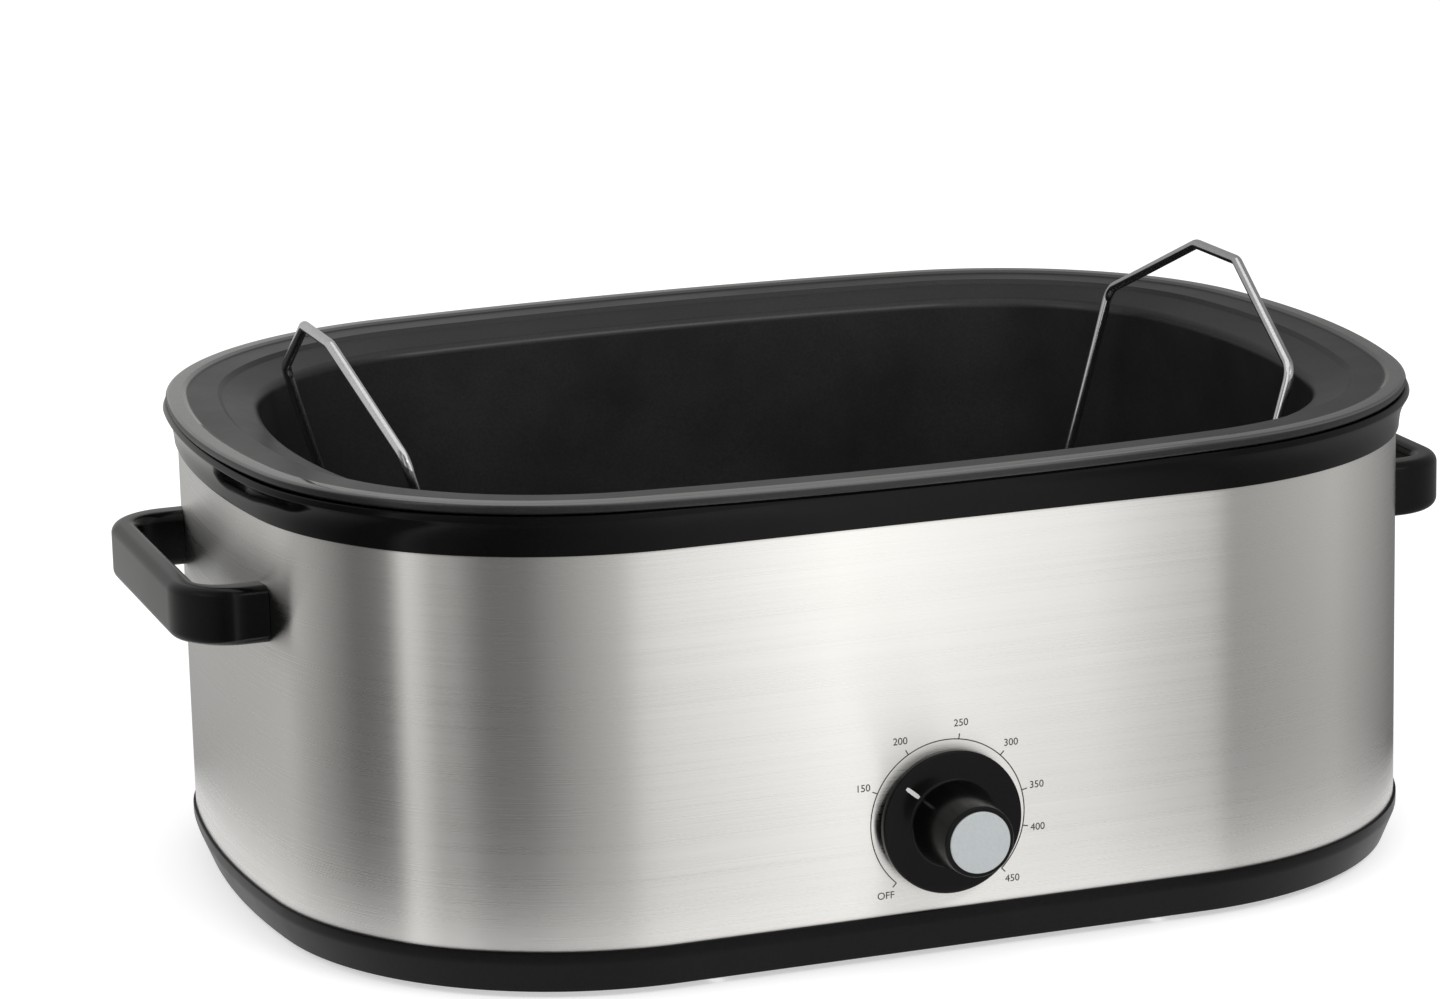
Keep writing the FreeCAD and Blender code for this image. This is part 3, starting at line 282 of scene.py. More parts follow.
def noise(tree, vector, scale, detail=4.0, roughness=0.55):
    node = tree.nodes.new("ShaderNodeTexNoise")
    tree.links.new(vector, node.inputs["Vector"])
    set_or_link(tree, node.inputs["Scale"], scale)
    node.inputs["Detail"].default_value = detail
    node.inputs["Roughness"].default_value = roughness
    return node.outputs["Fac"]


def stretch(tree, vector, scale):
    node = tree.nodes.new("ShaderNodeMapping")
    tree.links.new(vector, node.inputs["Vector"])
    node.inputs["Scale"].default_value = scale
    return node.outputs["Vector"]


def remap(tree, value, low_in, high_in, low_out, high_out):
    """A value carried from one range to another and held at its ends."""
    node = tree.nodes.new("ShaderNodeMapRange")
    tree.links.new(value, node.inputs["Value"])
    set_or_link(tree, node.inputs["From Min"], low_in)
    set_or_link(tree, node.inputs["From Max"], high_in)
    set_or_link(tree, node.inputs["To Min"], low_out)
    set_or_link(tree, node.inputs["To Max"], high_out)
    return node.outputs["Result"]


def arithmetic(tree, operation, first, second):
    node = tree.nodes.new("ShaderNodeMath")
    node.operation = operation
    set_or_link(tree, node.inputs[0], first)
    set_or_link(tree, node.inputs[1], second)
    return node.outputs[0]


def make_brush_grain():
    """Fine lines that run level round the piece, with broader faint bands."""
    fine_lines = (6, 6, 2600)
    broad_lines = (2.5, 2.5, 260)
    fine_share = 0.65
    broad_share = 0.35
    group, inputs, outputs = new_group(
        "brush_grain",
        [("NodeSocketVector", "Vector", None), ("NodeSocketFloat", "Least Roughness", 0.25),
         ("NodeSocketFloat", "Most Roughness", 0.38)],
        [("NodeSocketFloat", "Height"), ("NodeSocketFloat", "Roughness"), ("NodeSocketFloat", "Shade")])
    vector = inputs.outputs["Vector"]
    fine = noise(group, stretch(group, vector, fine_lines), 1.0, 3.0, 0.6)
    broad = noise(group, stretch(group, vector, broad_lines), 1.0, 4.0, 0.6)
    fine = arithmetic(group, "MULTIPLY", fine, fine_share)
    broad = arithmetic(group, "MULTIPLY", broad, broad_share)
    mixed = arithmetic(group, "ADD", fine, broad)
    group.links.new(mixed, outputs.inputs["Height"])
    least = inputs.outputs["Least Roughness"]
    most = inputs.outputs["Most Roughness"]
    group.links.new(remap(group, mixed, 0.35, 0.65, least, most), outputs.inputs["Roughness"])
    group.links.new(remap(group, mixed, 0.3, 0.7, 0.86, 1.0), outputs.inputs["Shade"])
    return group


def make_surface_wear():
    """Slow uneven gloss with a fine ripple, for enamel and moulded pieces."""
    group, inputs, outputs = new_group(
        "surface_wear",
        [("NodeSocketVector", "Vector", None), ("NodeSocketFloat", "Ripple Scale", 220.0),
         ("NodeSocketFloat", "Least Roughness", 0.1), ("NodeSocketFloat", "Most Roughness", 0.2)],
        [("NodeSocketFloat", "Height"), ("NodeSocketFloat", "Roughness"), ("NodeSocketFloat", "Mottle")])
    vector = inputs.outputs["Vector"]
    ripple = noise(group, vector, inputs.outputs["Ripple Scale"], 2.0, 0.5)
    slow = noise(group, vector, 14.0, 5.0, 0.6)
    speck = noise(group, vector, 900.0, 2.0, 0.5)
    group.links.new(ripple, outputs.inputs["Height"])
    least = inputs.outputs["Least Roughness"]
    most = inputs.outputs["Most Roughness"]
    group.links.new(remap(group, slow, 0.3, 0.7, least, most), outputs.inputs["Roughness"])
    group.links.new(arithmetic(group, "MULTIPLY", slow, speck), outputs.inputs["Mottle"])
    return group


BRUSH_GRAIN = make_brush_grain()
SURFACE_WEAR = make_surface_wear()


# Materials

def grey(level):
    return (level, level, level)


def start_material(name):
    """A material with only its shader, its output and its object coordinates."""
    material = bpy.data.materials.new(name)
    material.use_nodes = True
    tree = material.node_tree
    shader = tree.nodes["Principled BSDF"]
    place = tree.nodes.new("ShaderNodeTexCoord")
    return material, tree, shader, place.outputs["Object"]


def add_group(tree, group, place, values):
    """A shader group laid on the object's coordinates, its inputs set by name."""
    node = tree.nodes.new("ShaderNodeGroup")
    node.node_tree = group
    tree.links.new(place, node.inputs["Vector"])
    for label, value in values.items():
        node.inputs[label].default_value = value
    return node


def colour_between(tree, factor, dark, light):
    node = tree.nodes.new("ShaderNodeMix")
    node.data_type = "RGBA"
    tree.links.new(factor, node.inputs["Factor"])
    colours = [socket for socket in node.inputs if socket.type == "RGBA"]
    colours[0].default_value = (*dark, 1)
    colours[1].default_value = (*light, 1)
    return [socket for socket in node.outputs if socket.type == "RGBA"][0]


def add_bump(tree, shader, height, strength, distance):
    bump = tree.nodes.new("ShaderNodeBump")
    bump.inputs["Strength"].default_value = strength
    bump.inputs["Distance"].default_value = distance
    tree.links.new(height, bump.inputs["Height"])
    tree.links.new(bump.outputs["Normal"], shader.inputs["Normal"])


def brushed_steel(name, dark, light, least, most, anisotropy):
    """Steel brushed level round the piece, so that what it mirrors is drawn out up and down."""
    material, tree, shader, place = start_material(name)
    grain = add_group(tree, BRUSH_GRAIN, place, {"Least Roughness": least, "Most Roughness": most})
    tree.links.new(colour_between(tree, grain.outputs["Shade"], dark, light), shader.inputs["Base Color"])
    tree.links.new(grain.outputs["Roughness"], shader.inputs["Roughness"])
    shader.inputs["Metallic"].default_value = 1.0
    shader.inputs["Anisotropic"].default_value = anisotropy
    shader.inputs["Anisotropic Rotation"].default_value = 0.25
    tangent = tree.nodes.new("ShaderNodeTangent")
    tangent.direction_type = "RADIAL"
    tangent.axis = "Z"
    tree.links.new(tangent.outputs["Tangent"], shader.inputs["Tangent"])
    add_bump(tree, shader, grain.outputs["Height"], 0.08, 0.04 * MM)
    return material


def worn_surface(name, dark, light, least, most, ripple, bump, metallic=0.0, coat=0.0, gloss=0.3):
    """A painted, enamelled, moulded or plated surface with its own gloss and ripple."""
    material, tree, shader, place = start_material(name)
    values = {"Ripple Scale": ripple, "Least Roughness": least, "Most Roughness": most}
    wear = add_group(tree, SURFACE_WEAR, place, values)
    mottle = remap(tree, wear.outputs["Mottle"], 0.12, 0.4, 0.0, 1.0)
    tree.links.new(colour_between(tree, mottle, dark, light), shader.inputs["Base Color"])
    tree.links.new(wear.outputs["Roughness"], shader.inputs["Roughness"])
    shader.inputs["Metallic"].default_value = metallic
    shader.inputs["Specular IOR Level"].default_value = gloss
    shader.inputs["Coat Weight"].default_value = coat
    shader.inputs["Coat Roughness"].default_value = 0.04
    add_bump(tree, shader, wear.outputs["Height"], bump, 0.2 * MM)
    return material


STEEL = brushed_steel(
    "brushed_steel_case", (0.58, 0.565, 0.545), (0.80, 0.785, 0.765), least=0.26, most=0.31, anisotropy=1.0)
SHEET_STEEL = brushed_steel(
    "zinc_sheet", (0.42, 0.43, 0.44), (0.6, 0.61, 0.62), least=0.3, most=0.45, anisotropy=0.0)
COLLAR_ENAMEL = worn_surface(
    "collar_gloss_enamel", grey(0.001), grey(0.003),
    least=0.07, most=0.13, ripple=120, bump=0.03, coat=0.08, gloss=0.12)
PAN_ENAMEL = worn_surface(
    "pan_charcoal_enamel", (0.011, 0.010, 0.0105), (0.022, 0.020, 0.021),
    least=0.28, most=0.4, ripple=260, bump=0.06, gloss=0.35)
BASE_PLASTIC = worn_surface(
    "base_satin_black", grey(0.001), grey(0.004), least=0.3, most=0.42, ripple=700, bump=0.1, gloss=0.12)
HANDLE_PLASTIC = worn_surface(
    "handle_gloss_black", grey(0.001), grey(0.003),
    least=0.12, most=0.22, ripple=160, bump=0.03, coat=0.1, gloss=0.22)
KNOB_PLASTIC = worn_surface(
    "knob_gloss_black", grey(0.001), grey(0.003),
    least=0.14, most=0.24, ripple=200, bump=0.03, coat=0.05, gloss=0.12)
CAP_SILVER = worn_surface(
    "cap_silver_paint", (0.50, 0.53, 0.54), (0.55, 0.58, 0.595),
    least=0.35, most=0.42, ripple=600, bump=0.01, metallic=0.1)
CHROME = worn_surface(
    "rack_chrome", (0.62, 0.62, 0.63), (0.78, 0.78, 0.79),
    least=0.08, most=0.2, ripple=300, bump=0.03, metallic=1.0)
RUBBER = worn_surface("black_rubber", grey(0.012), grey(0.028), least=0.6, most=0.8, ripple=500, bump=0.15)
BRASS = worn_surface(
    "plain_brass", (0.55, 0.4, 0.18), (0.75, 0.58, 0.3),
    least=0.22, most=0.38, ripple=400, bump=0.05, metallic=1.0)
BAKELITE = worn_surface(
    "brown_bakelite", (0.05, 0.026, 0.016), (0.09, 0.05, 0.032),
    least=0.3, most=0.45, ripple=300, bump=0.05)
HEATER_CLOTH = worn_surface(
    "heater_glass_cloth", (0.6, 0.57, 0.5), (0.8, 0.77, 0.7), least=0.75, most=0.9, ripple=900, bump=0.3)
FIBRE = worn_surface(
    "blanket_glass_fibre", (0.62, 0.52, 0.26), (0.86, 0.76, 0.45),
    least=0.85, most=0.95, ripple=350, bump=0.6)
WHITE_INK = worn_surface(
    "white_ink", (0.7, 0.7, 0.68), (0.86, 0.86, 0.84), least=0.4, most=0.55, ripple=400, bump=0.02)
BLACK_INK = worn_surface("black_ink", grey(0.012), grey(0.03), least=0.35, most=0.5, ripple=400, bump=0.02)

NODE_MATERIALS = {
    "bottom_plate": SHEET_STEEL, "rubber_feet": RUBBER, "base_screws": CHROME, "heating_well": SHEET_STEEL,
    "heater_band": HEATER_CLOTH, "heater_straps": SHEET_STEEL, "heater_tabs": SHEET_STEEL,
    "insulation_blanket": FIBRE, "handle_screws": CHROME, "thermostat_bushing": BRASS,
    "thermostat_nut": CHROME, "thermostat_bracket": SHEET_STEEL, "thermostat_body": BAKELITE,
    "thermostat_terminals": BRASS, "thermostat_sensor": BRASS, "cord_grommet": RUBBER,
    "terminal_block": BAKELITE, "thermal_fuse": CHROME, "fuse_clip": SHEET_STEEL,
    "knob_clip": SHEET_STEEL, "thermostat_shaft": BRASS,
}


def dress_nodes():
    """The CAD nodes that stay as they are get their finishes."""
    for name, material in NODE_MATERIALS.items():
        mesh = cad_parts[name].data
        mesh.materials.clear()
        mesh.materials.append(material)


# Outlines and sections

def arc_points(centre, start, finish, radius):
    """Points and outward normals along an arc between two angles, evenly spaced."""
    count = max(3, int(math.ceil(abs(finish - start) * radius / OUTLINE_STEP)))
    points = []
    for number in range(count):
        angle = start + (finish - start) * number / count
        normal = Vector((math.cos(angle), math.sin(angle)))
        points.append((centre + normal * radius, normal))
    return points


def corner_centre(side_centre, side, end_centre, end, corner):
    """The middle of a corner's arc that runs smoothly into a side's arc and an end's arc."""
    gap = (end_centre - side_centre).length
    way = (end_centre - side_centre).normalized()
    along = ((side - corner) ** 2 - (end - corner) ** 2 + gap ** 2) / (2 * gap)
    aside = Vector((-way.y, way.x)) * math.sqrt((side - corner) ** 2 - along ** 2)
    foot = side_centre + way * along
    centre = foot + aside
    if centre.x < 0 or centre.x + centre.y < 0:
        centre = foot - aside
    return centre


def oval(half_length, half_depth, corner, end, side=None):
    """An oval outline anticlockwise from its front middle, as points with outward normals.

    Its ends are arcs. Its sides are arcs too where they have a radius, and straight otherwise.
    """
    end_centre = Vector((half_length - end, 0))
    if side:
        side_centre = Vector((0, half_depth - side))
        centre = corner_centre(side_centre, side, end_centre, end, corner)
        side_angle = math.atan2(centre.y - side_centre.y, centre.x - side_centre.x)
        quarter = arc_points(side_centre, math.pi / 2, side_angle, side)
    else:
        reach = math.sqrt((end - corner) ** 2 - (half_depth - corner) ** 2)
        centre = Vector((half_length - end + reach, half_depth - corner))
        side_angle = math.pi / 2
        steps = int(math.ceil(centre.x / OUTLINE_STEP))
        quarter = [(Vector((centre.x * n / steps, half_depth)), Vector((0, 1))) for n in range(steps)]
    end_angle = math.atan2(centre.y, centre.x - end_centre.x)
    quarter += arc_points(centre, side_angle, end_angle, corner)
    quarter += arc_points(end_centre, end_angle, 0, end)
    tip = (Vector((half_length, 0)), Vector((1, 0)))

    def turned(pairs, x_sign, y_sign):
        signs = Matrix.Diagonal((x_sign, y_sign))
        return [(signs @ point, signs @ normal) for point, normal in pairs]

    front_right = turned(quarter, 1, -1)
    back_right = turned([tip] + quarter[:0:-1], 1, 1)
    back_left = turned(quarter, -1, 1)
    front_left = turned([tip] + quarter[:0:-1], -1, -1)
    return front_right + back_right + back_left + front_left


def rounded(points, steps=6):
    """A closed section from (out, up, radius) points, each corner rounded."""
    result = []
    count = len(points)
    for number, (out, up, radius) in enumerate(points):
        here = Vector((out, up))
        if radius <= 0:
            result.append(here)
            continue
        back = Vector(points[number - 1][:2]) - here
        ahead = Vector(points[(number + 1) % count][:2]) - here
        back.normalize()
        ahead.normalize()
        half = back.angle(ahead) / 2
        reach = radius / math.tan(half)
        centre = here + (back + ahead).normalized() * (radius / math.sin(half))
        first = here + back * reach - centre
        last = here + ahead * reach - centre
        start = math.atan2(first.y, first.x)
        sweep = (math.atan2(last.y, last.x) - start + math.pi) % (2 * math.pi) - math.pi
        pieces = max(2, int(steps * abs(sweep) / (math.pi / 2)) + 2)
        for step in range(pieces + 1):
            angle = start + sweep * step / pieces
            result.append(centre + Vector((math.cos(angle), math.sin(angle))) * radius)
    return result


def swept(name, outline, section, plated=None):
    """A closed section carried round an outline, with its opening plated over after one section point."""
    mesh = bmesh.new()
    rows = []
    for point, normal in outline:
        row = []
        for place in section:
            flat = point + normal * place.x
            row.append(mesh.verts.new((flat.x, flat.y, place.y)))
        rows.append(row)
    for number, row in enumerate(rows):
        ahead = rows[(number + 1) % len(rows)]
        for index in range(len(section)):
            after = (index + 1) % len(section)
            if index != plated:
                mesh.faces.new((row[index], ahead[index], ahead[after], row[after]))
    if plated is not None:
        mesh.faces.new([row[plated] for row in rows])
        mesh.faces.new([row[plated + 1] for row in rows])
    bmesh.ops.recalc_face_normals(mesh, faces=mesh.faces)
    data = as_mesh(mesh, name)
    smooth(data, SWEPT_EDGE)
    return data


def refined_copy(node, name, body, material, slot):
    """A welded, smoothly shaded copy of a CAD node, standing for it."""
    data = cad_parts[node].data.copy()
    data.name = name
    mesh = bmesh.new()
    mesh.from_mesh(data)
    bmesh.ops.remove_doubles(mesh, verts=mesh.verts, dist=0.001 * MM)
    mesh.to_mesh(data)
    mesh.free()
    obj = new_object(name, data)
    if data.has_custom_normals:
        bpy.context.view_layer.objects.active = obj
        bpy.ops.mesh.customdata_custom_splitnormals_clear()
    smooth(data, CAD_EDGE)
    return finish_piece(obj, body, material, slot, node)


CASE_HALF_LENGTH = high("case_wall").x
CASE_HALF_DEPTH = high("case_wall").y
CASE_OUTLINE = oval(CASE_HALF_LENGTH, CASE_HALF_DEPTH, CASE_CORNER_RADIUS, CASE_END_RADIUS)
PAN_HALF_LENGTH = high("roasting_pan").x
PAN_HALF_DEPTH = high("roasting_pan").y
PAN_OUTLINE = oval(PAN_HALF_LENGTH, PAN_HALF_DEPTH, PAN_CORNER_RADIUS, PAN_END_RADIUS, PAN_SIDE_RADIUS)


def make_case_wall():
    """The steel band, straight up and down between the skirt and the collar."""
    bottom = low("case_wall").z
    top = high("case_wall").z
    section = rounded([(0, bottom, 0), (0, top, 0), (-WALL_THICKNESS, top, 0), (-WALL_THICKNESS, bottom, 0)])
    wall = swept("steel_wall", CASE_OUTLINE, section)
    return finish_piece(new_object("steel_wall", wall), "root", STEEL, "brushed_case", "case_wall")


def make_base_skirt():
    """The moulded base: a small lip round the steel, a side that tucks in, and a shelf underneath."""
    top = high("base_skirt").z
    foot = low("base_skirt").z
    seat = top - SKIRT_SEAT_DEPTH
    section = rounded([
        (SEAT_GAP, top, 0),
        (SKIRT_PROUD, top, SKIRT_LIP_RADIUS),
        (SKIRT_PROUD, top - SKIRT_LIP_HEIGHT, SKIRT_BEND_RADIUS),
        (-SKIRT_TUCK, foot, SKIRT_EDGE_RADIUS),
        (-SKIRT_SHELF, foot, 0),
        (-SKIRT_SHELF, foot + SKIRT_WALL, 0),
        (-SKIRT_TUCK - SKIRT_WALL, foot + SKIRT_WALL, 0),
        (-SKIRT_WALL, seat - SKIRT_WALL, 0),
        (-SKIRT_WALL, seat, 0),
        (SEAT_GAP, seat, 0),
    ], 8)
    skirt = swept("black_base_skirt", CASE_OUTLINE, section)
    piece = new_object("black_base_skirt", skirt)
    return finish_piece(piece, "root", BASE_PLASTIC, "base_plastic", "base_skirt")


def make_collar():
    """The flared collar, with a small rolled lip over the steel's top edge."""
    top = high("rim_collar").z
    foot = low("rim_collar").z
    lip = SEAT_GAP + COLLAR_LIP_THICKNESS
    inner = -WALL_THICKNESS - COLLAR_SHELL
    section = rounded([
        (SEAT_GAP, foot, 0),
        (lip, foot, COLLAR_FOOT_RADIUS),
        (lip + COLLAR_SWELL, (foot + top) / 2, COLLAR_SWEEP_RADIUS),
        (COLLAR_FLARE, top - COLLAR_EDGE_DROP, COLLAR_SHOULDER_RADIUS),
        (COLLAR_FLARE - COLLAR_EDGE_TUCK, top, COLLAR_EDGE_RADIUS),
        (-COLLAR_FLANGE, top, 0),
        (-COLLAR_FLANGE, top - COLLAR_SHELL, 0),
        (inner, top - COLLAR_SHELL, 0),
        (inner, foot + COLLAR_LIP, 0),
        (SEAT_GAP, foot + COLLAR_LIP, 0),
    ], 10)
    collar = swept("gloss_rim_collar", CASE_OUTLINE, section)
    piece = new_object("gloss_rim_collar", collar)
    return finish_piece(piece, "root", COLLAR_ENAMEL, "collar_enamel", "rim_collar")


def shine_above(material, level, fade, index_of_refraction):
    """A glossy coat that starts at a level and is full a little above it."""
    tree = material.node_tree
    shader = tree.nodes["Principled BSDF"]
    place = tree.nodes.new("ShaderNodeTexCoord").outputs["Object"]
    parts = tree.nodes.new("ShaderNodeSeparateXYZ")
    tree.links.new(place, parts.inputs["Vector"])
    shader.inputs["Coat IOR"].default_value = index_of_refraction
    coat = remap(tree, parts.outputs["Z"], level, level + fade, 0.0, 1.0)
    tree.links.new(coat, shader.inputs["Coat Weight"])


def make_pan():
    """The pan: rolled edge, flat land, step, sloped band, tapered wall and flat floor."""
    top = high("roasting_pan").z
    bottom = low("roasting_pan").z
    seat = top - PAN_BEAD
    land = top - PAN_BEAD_DROP
    slope = land - PAN_STEP_DROP
    lip = slope - PAN_BAND_DROP
    floor = bottom + PAN_SHEET
    wall_foot = -PAN_OPENING - PAN_WALL_DRAFT
    floor_edge = wall_foot - PAN_FLOOR_RING
    section = rounded([
        (0, seat, PAN_BEAD_RADIUS),
        (0, top, PAN_BEAD_RADIUS),
        (-PAN_BEAD_WIDTH, top, PAN_FOLD_RADIUS),
        (-PAN_BEAD_FOOT, land, PAN_FOLD_RADIUS),
        (-PAN_LAND_END, land, PAN_STEP_RADIUS),
        (-PAN_LAND_END - PAN_STEP_WIDTH, slope, PAN_STEP_RADIUS),
        (-PAN_OPENING, lip, PAN_LIP_RADIUS),
        (wall_foot, floor, PAN_FLOOR_RADIUS),
        (floor_edge, floor, 0),
        (floor_edge, bottom, 0),
        (wall_foot + PAN_SHEET, bottom, PAN_FLOOR_RADIUS + PAN_SHEET),
        (PAN_SHEET - PAN_OPENING, lip - PAN_SHEET, PAN_LIP_INNER_RADIUS),
        (-PAN_UNDER_STEP, slope - PAN_SHEET, 0),
        (-PAN_LAND_END, seat, 0),
    ], 10)
    edge = section.index(Vector((floor_edge, floor)))
    pan = swept("charcoal_roasting_pan", PAN_OUTLINE, section, edge)
    shine_above(PAN_ENAMEL, land + BEAD_SHINE_START, BEAD_SHINE_FADE, BEAD_SHINE_IOR)
    piece = new_object("charcoal_roasting_pan", pan)
    return finish_piece(piece, "pan", PAN_ENAMEL, "pan_enamel", "roasting_pan")


def make_handles():
    refined_copy("right_handle", "right_loop_handle", "root", HANDLE_PLASTIC, "handle_plastic")
    refined_copy("left_handle", "left_loop_handle", "root", HANDLE_PLASTIC, "handle_plastic")


def make_knob():
    refined_copy("knob", "fluted_knob", "knob", KNOB_PLASTIC, "knob_plastic")
    refined_copy("knob_cap", "silver_knob_cap", "knob", CAP_SILVER, "cap_silver")


# The dial print, laid on the steel round the knob

KNOB_CENTRE = Vector((0, -CASE_HALF_DEPTH, (low("knob").z + high("knob").z) / 2))
TO_FRONT = Matrix.Rotation(math.pi / 2, 4, "X")


def front_place(lift):
    """Carries a flat print from the XY plane onto the steel's front, that far out."""
    return Matrix.Translation(KNOB_CENTRE + Vector((0, -lift, 0))) @ TO_FRONT


def dial_way(degrees):
    """The direction of a mark from the dial's middle, on the XY plane."""
    angle = math.radians(degrees)
    return Vector((math.cos(angle), math.sin(angle), 0))


def make_dial_line():
    """The thin line round the knob, between the first and the last mark."""
    mesh = bmesh.new()
    up = Vector((0, 0, INK_THICKNESS))
    rows = []
    for number in range(DIAL_STEPS + 1):
        way = dial_way(DIAL_LAST + (DIAL_FIRST - DIAL_LAST) * number / DIAL_STEPS)
        inner = way * (DIAL_RADIUS - DIAL_LINE / 2)
        outer = way * (DIAL_RADIUS + DIAL_LINE / 2)
        rows.append([mesh.verts.new(place) for place in (inner, outer, outer + up, inner + up)])
    for row, ahead in zip(rows, rows[1:]):
        for index in range(4):
            after = (index + 1) % 4
            mesh.faces.new((row[index], row[after], ahead[after], ahead[index]))
    mesh.faces.new(rows[0][::-1])
    mesh.faces.new(rows[-1])
    bmesh.ops.recalc_face_normals(mesh, faces=mesh.faces)
    data = as_mesh(mesh, "dial_line")
    data.transform(front_place(0.0))
    return finish_piece(new_object("dial_line", data), "root", BLACK_INK, "knob_plastic")


def tick_tree(material):
    """Geometry nodes that set a bar at each point, turned to face the dial's centre."""
    tree = bpy.data.node_groups.new("dial_ticks", "GeometryNodeTree")
    tree.interface.new_socket(name="Geometry", in_out="INPUT", socket_type="NodeSocketGeometry")
    for label, default in (("Length", TICK_LENGTH), ("Width", DIAL_LINE), ("Thickness", INK_THICKNESS)):
        socket = tree.interface.new_socket(name=label, in_out="INPUT", socket_type="NodeSocketFloat")
        socket.default_value = default
    tree.interface.new_socket(name="Geometry", in_out="OUTPUT", socket_type="NodeSocketGeometry")
    inputs = tree.nodes.new("NodeGroupInput")
    outputs = tree.nodes.new("NodeGroupOutput")
    size = tree.nodes.new("ShaderNodeCombineXYZ")
    bar = tree.nodes.new("GeometryNodeMeshCube")
    place = tree.nodes.new("GeometryNodeInputPosition")
    parts = tree.nodes.new("ShaderNodeSeparateXYZ")
    angle = tree.nodes.new("ShaderNodeMath")
    angle.operation = "ARCTAN2"
    turn = tree.nodes.new("ShaderNodeCombineXYZ")
    instance = tree.nodes.new("GeometryNodeInstanceOnPoints")
    real = tree.nodes.new("GeometryNodeRealizeInstances")
    paint = tree.nodes.new("GeometryNodeSetMaterial")
    paint.inputs["Material"].default_value = material
    link = tree.links.new
    for label, axis in (("Length", "X"), ("Width", "Y"), ("Thickness", "Z")):
        link(inputs.outputs[label], size.inputs[axis])
    link(size.outputs["Vector"], bar.inputs["Size"])
    link(place.outputs["Position"], parts.inputs["Vector"])
    link(parts.outputs["Y"], angle.inputs[0])
    link(parts.outputs["X"], angle.inputs[1])
    link(angle.outputs[0], turn.inputs["Z"])
    link(inputs.outputs["Geometry"], instance.inputs["Points"])
    link(bar.outputs["Mesh"], instance.inputs["Instance"])
    link(turn.outputs["Vector"], instance.inputs["Rotation"])
    link(instance.outputs["Instances"], real.inputs["Geometry"])
    link(real.outputs["Geometry"], paint.inputs["Geometry"])
    link(paint.outputs["Geometry"], outputs.inputs["Geometry"])
    return tree


def make_dial_ticks():
    """A short tick at every mark, set by geometry nodes on the marks' points."""
    points = bpy.data.meshes.new("dial_tick_points")
    reach = DIAL_RADIUS + TICK_LENGTH / 2
    middle = Vector((0, 0, INK_THICKNESS / 2))
    points.from_pydata([dial_way(angle) * reach + middle for angle in DIAL_MARKS.values()], [], [])
    base = new_object("dial_tick_base", points)
    modifier = base.modifiers.new("ticks", "NODES")
    modifier.node_group = tick_tree(BLACK_INK)
    data = made_mesh(base, "dial_ticks")
    data.transform(front_place(0.0))
    return finish_piece(new_object("dial_ticks", data), "root", BLACK_INK, "knob_plastic")


def flat_text(words, size, place):
    """A word as a thin closed mesh, centred on a place in the XY plane."""
    curve = bpy.data.curves.new("word", "FONT")
    curve.body = words
    curve.size = size
    curve.align_x = "CENTER"
    curve.align_y = "CENTER"
    curve.extrude = INK_THICKNESS / 2
    data = made_mesh(new_object("word", curve), "word")
    data.transform(Matrix.Translation(place + Vector((0, 0, INK_THICKNESS / 2))))
    return data


def joined(name, meshes):
    """Several meshes in one, welded where their corners meet."""
    mesh = bmesh.new()
    for data in meshes:
        mesh.from_mesh(data)
        bpy.data.meshes.remove(data)
    bmesh.ops.remove_doubles(mesh, verts=mesh.verts, dist=0.0001 * MM)
    bmesh.ops.recalc_face_normals(mesh, faces=mesh.faces)
    return as_mesh(mesh, name)


def make_dial_numbers():
    """The off mark and the heat numbers round the dial."""
    words = [flat_text(label, NUMBER_SIZE, dial_way(angle) * NUMBER_RADIUS)
             for label, angle in DIAL_MARKS.items()]
    data = joined("dial_numbers", words)
    data.transform(front_place(0.0))
    return finish_piece(new_object("dial_numbers", data), "root", BLACK_INK, "knob_plastic")


def make_pointer():
    """The white mark on the knob's skirt disc, lying along the disc's slope."""
    face = KNOB_CENTRE.y - low("knob").y - DISC_DEPTH + POINTER_LIFT
    mesh = bmesh.new()
    bmesh.ops.create_cube(mesh, size=1.0)
    bmesh.ops.bevel(mesh, geom=mesh.edges[:], offset=POINTER_EDGE_SHARE, segments=3, affect="EDGES")
    data = as_mesh(mesh, "knob_pointer")
    length = POINTER_OUTER - POINTER_INNER
    data.transform(Matrix.Diagonal((length, POINTER_WIDTH, POINTER_THICKNESS, 1)))
    data.transform(Matrix.Rotation(DISC_SLOPE, 4, "Y"))
    data.transform(Matrix.Translation(((POINTER_INNER + POINTER_OUTER) / 2, 0, 0)))
    data.transform(front_place(face) @ Matrix.Rotation(POINTER_ANGLE, 4, "Z"))
    smooth(data, SWEPT_EDGE)
    return finish_piece(new_object("knob_pointer", data), "knob", WHITE_INK, "cap_silver")


# The rack and its bails, laid as round wires by geometry nodes

HINGE_LEVEL = low("right_bail").z + WIRE_RADIUS


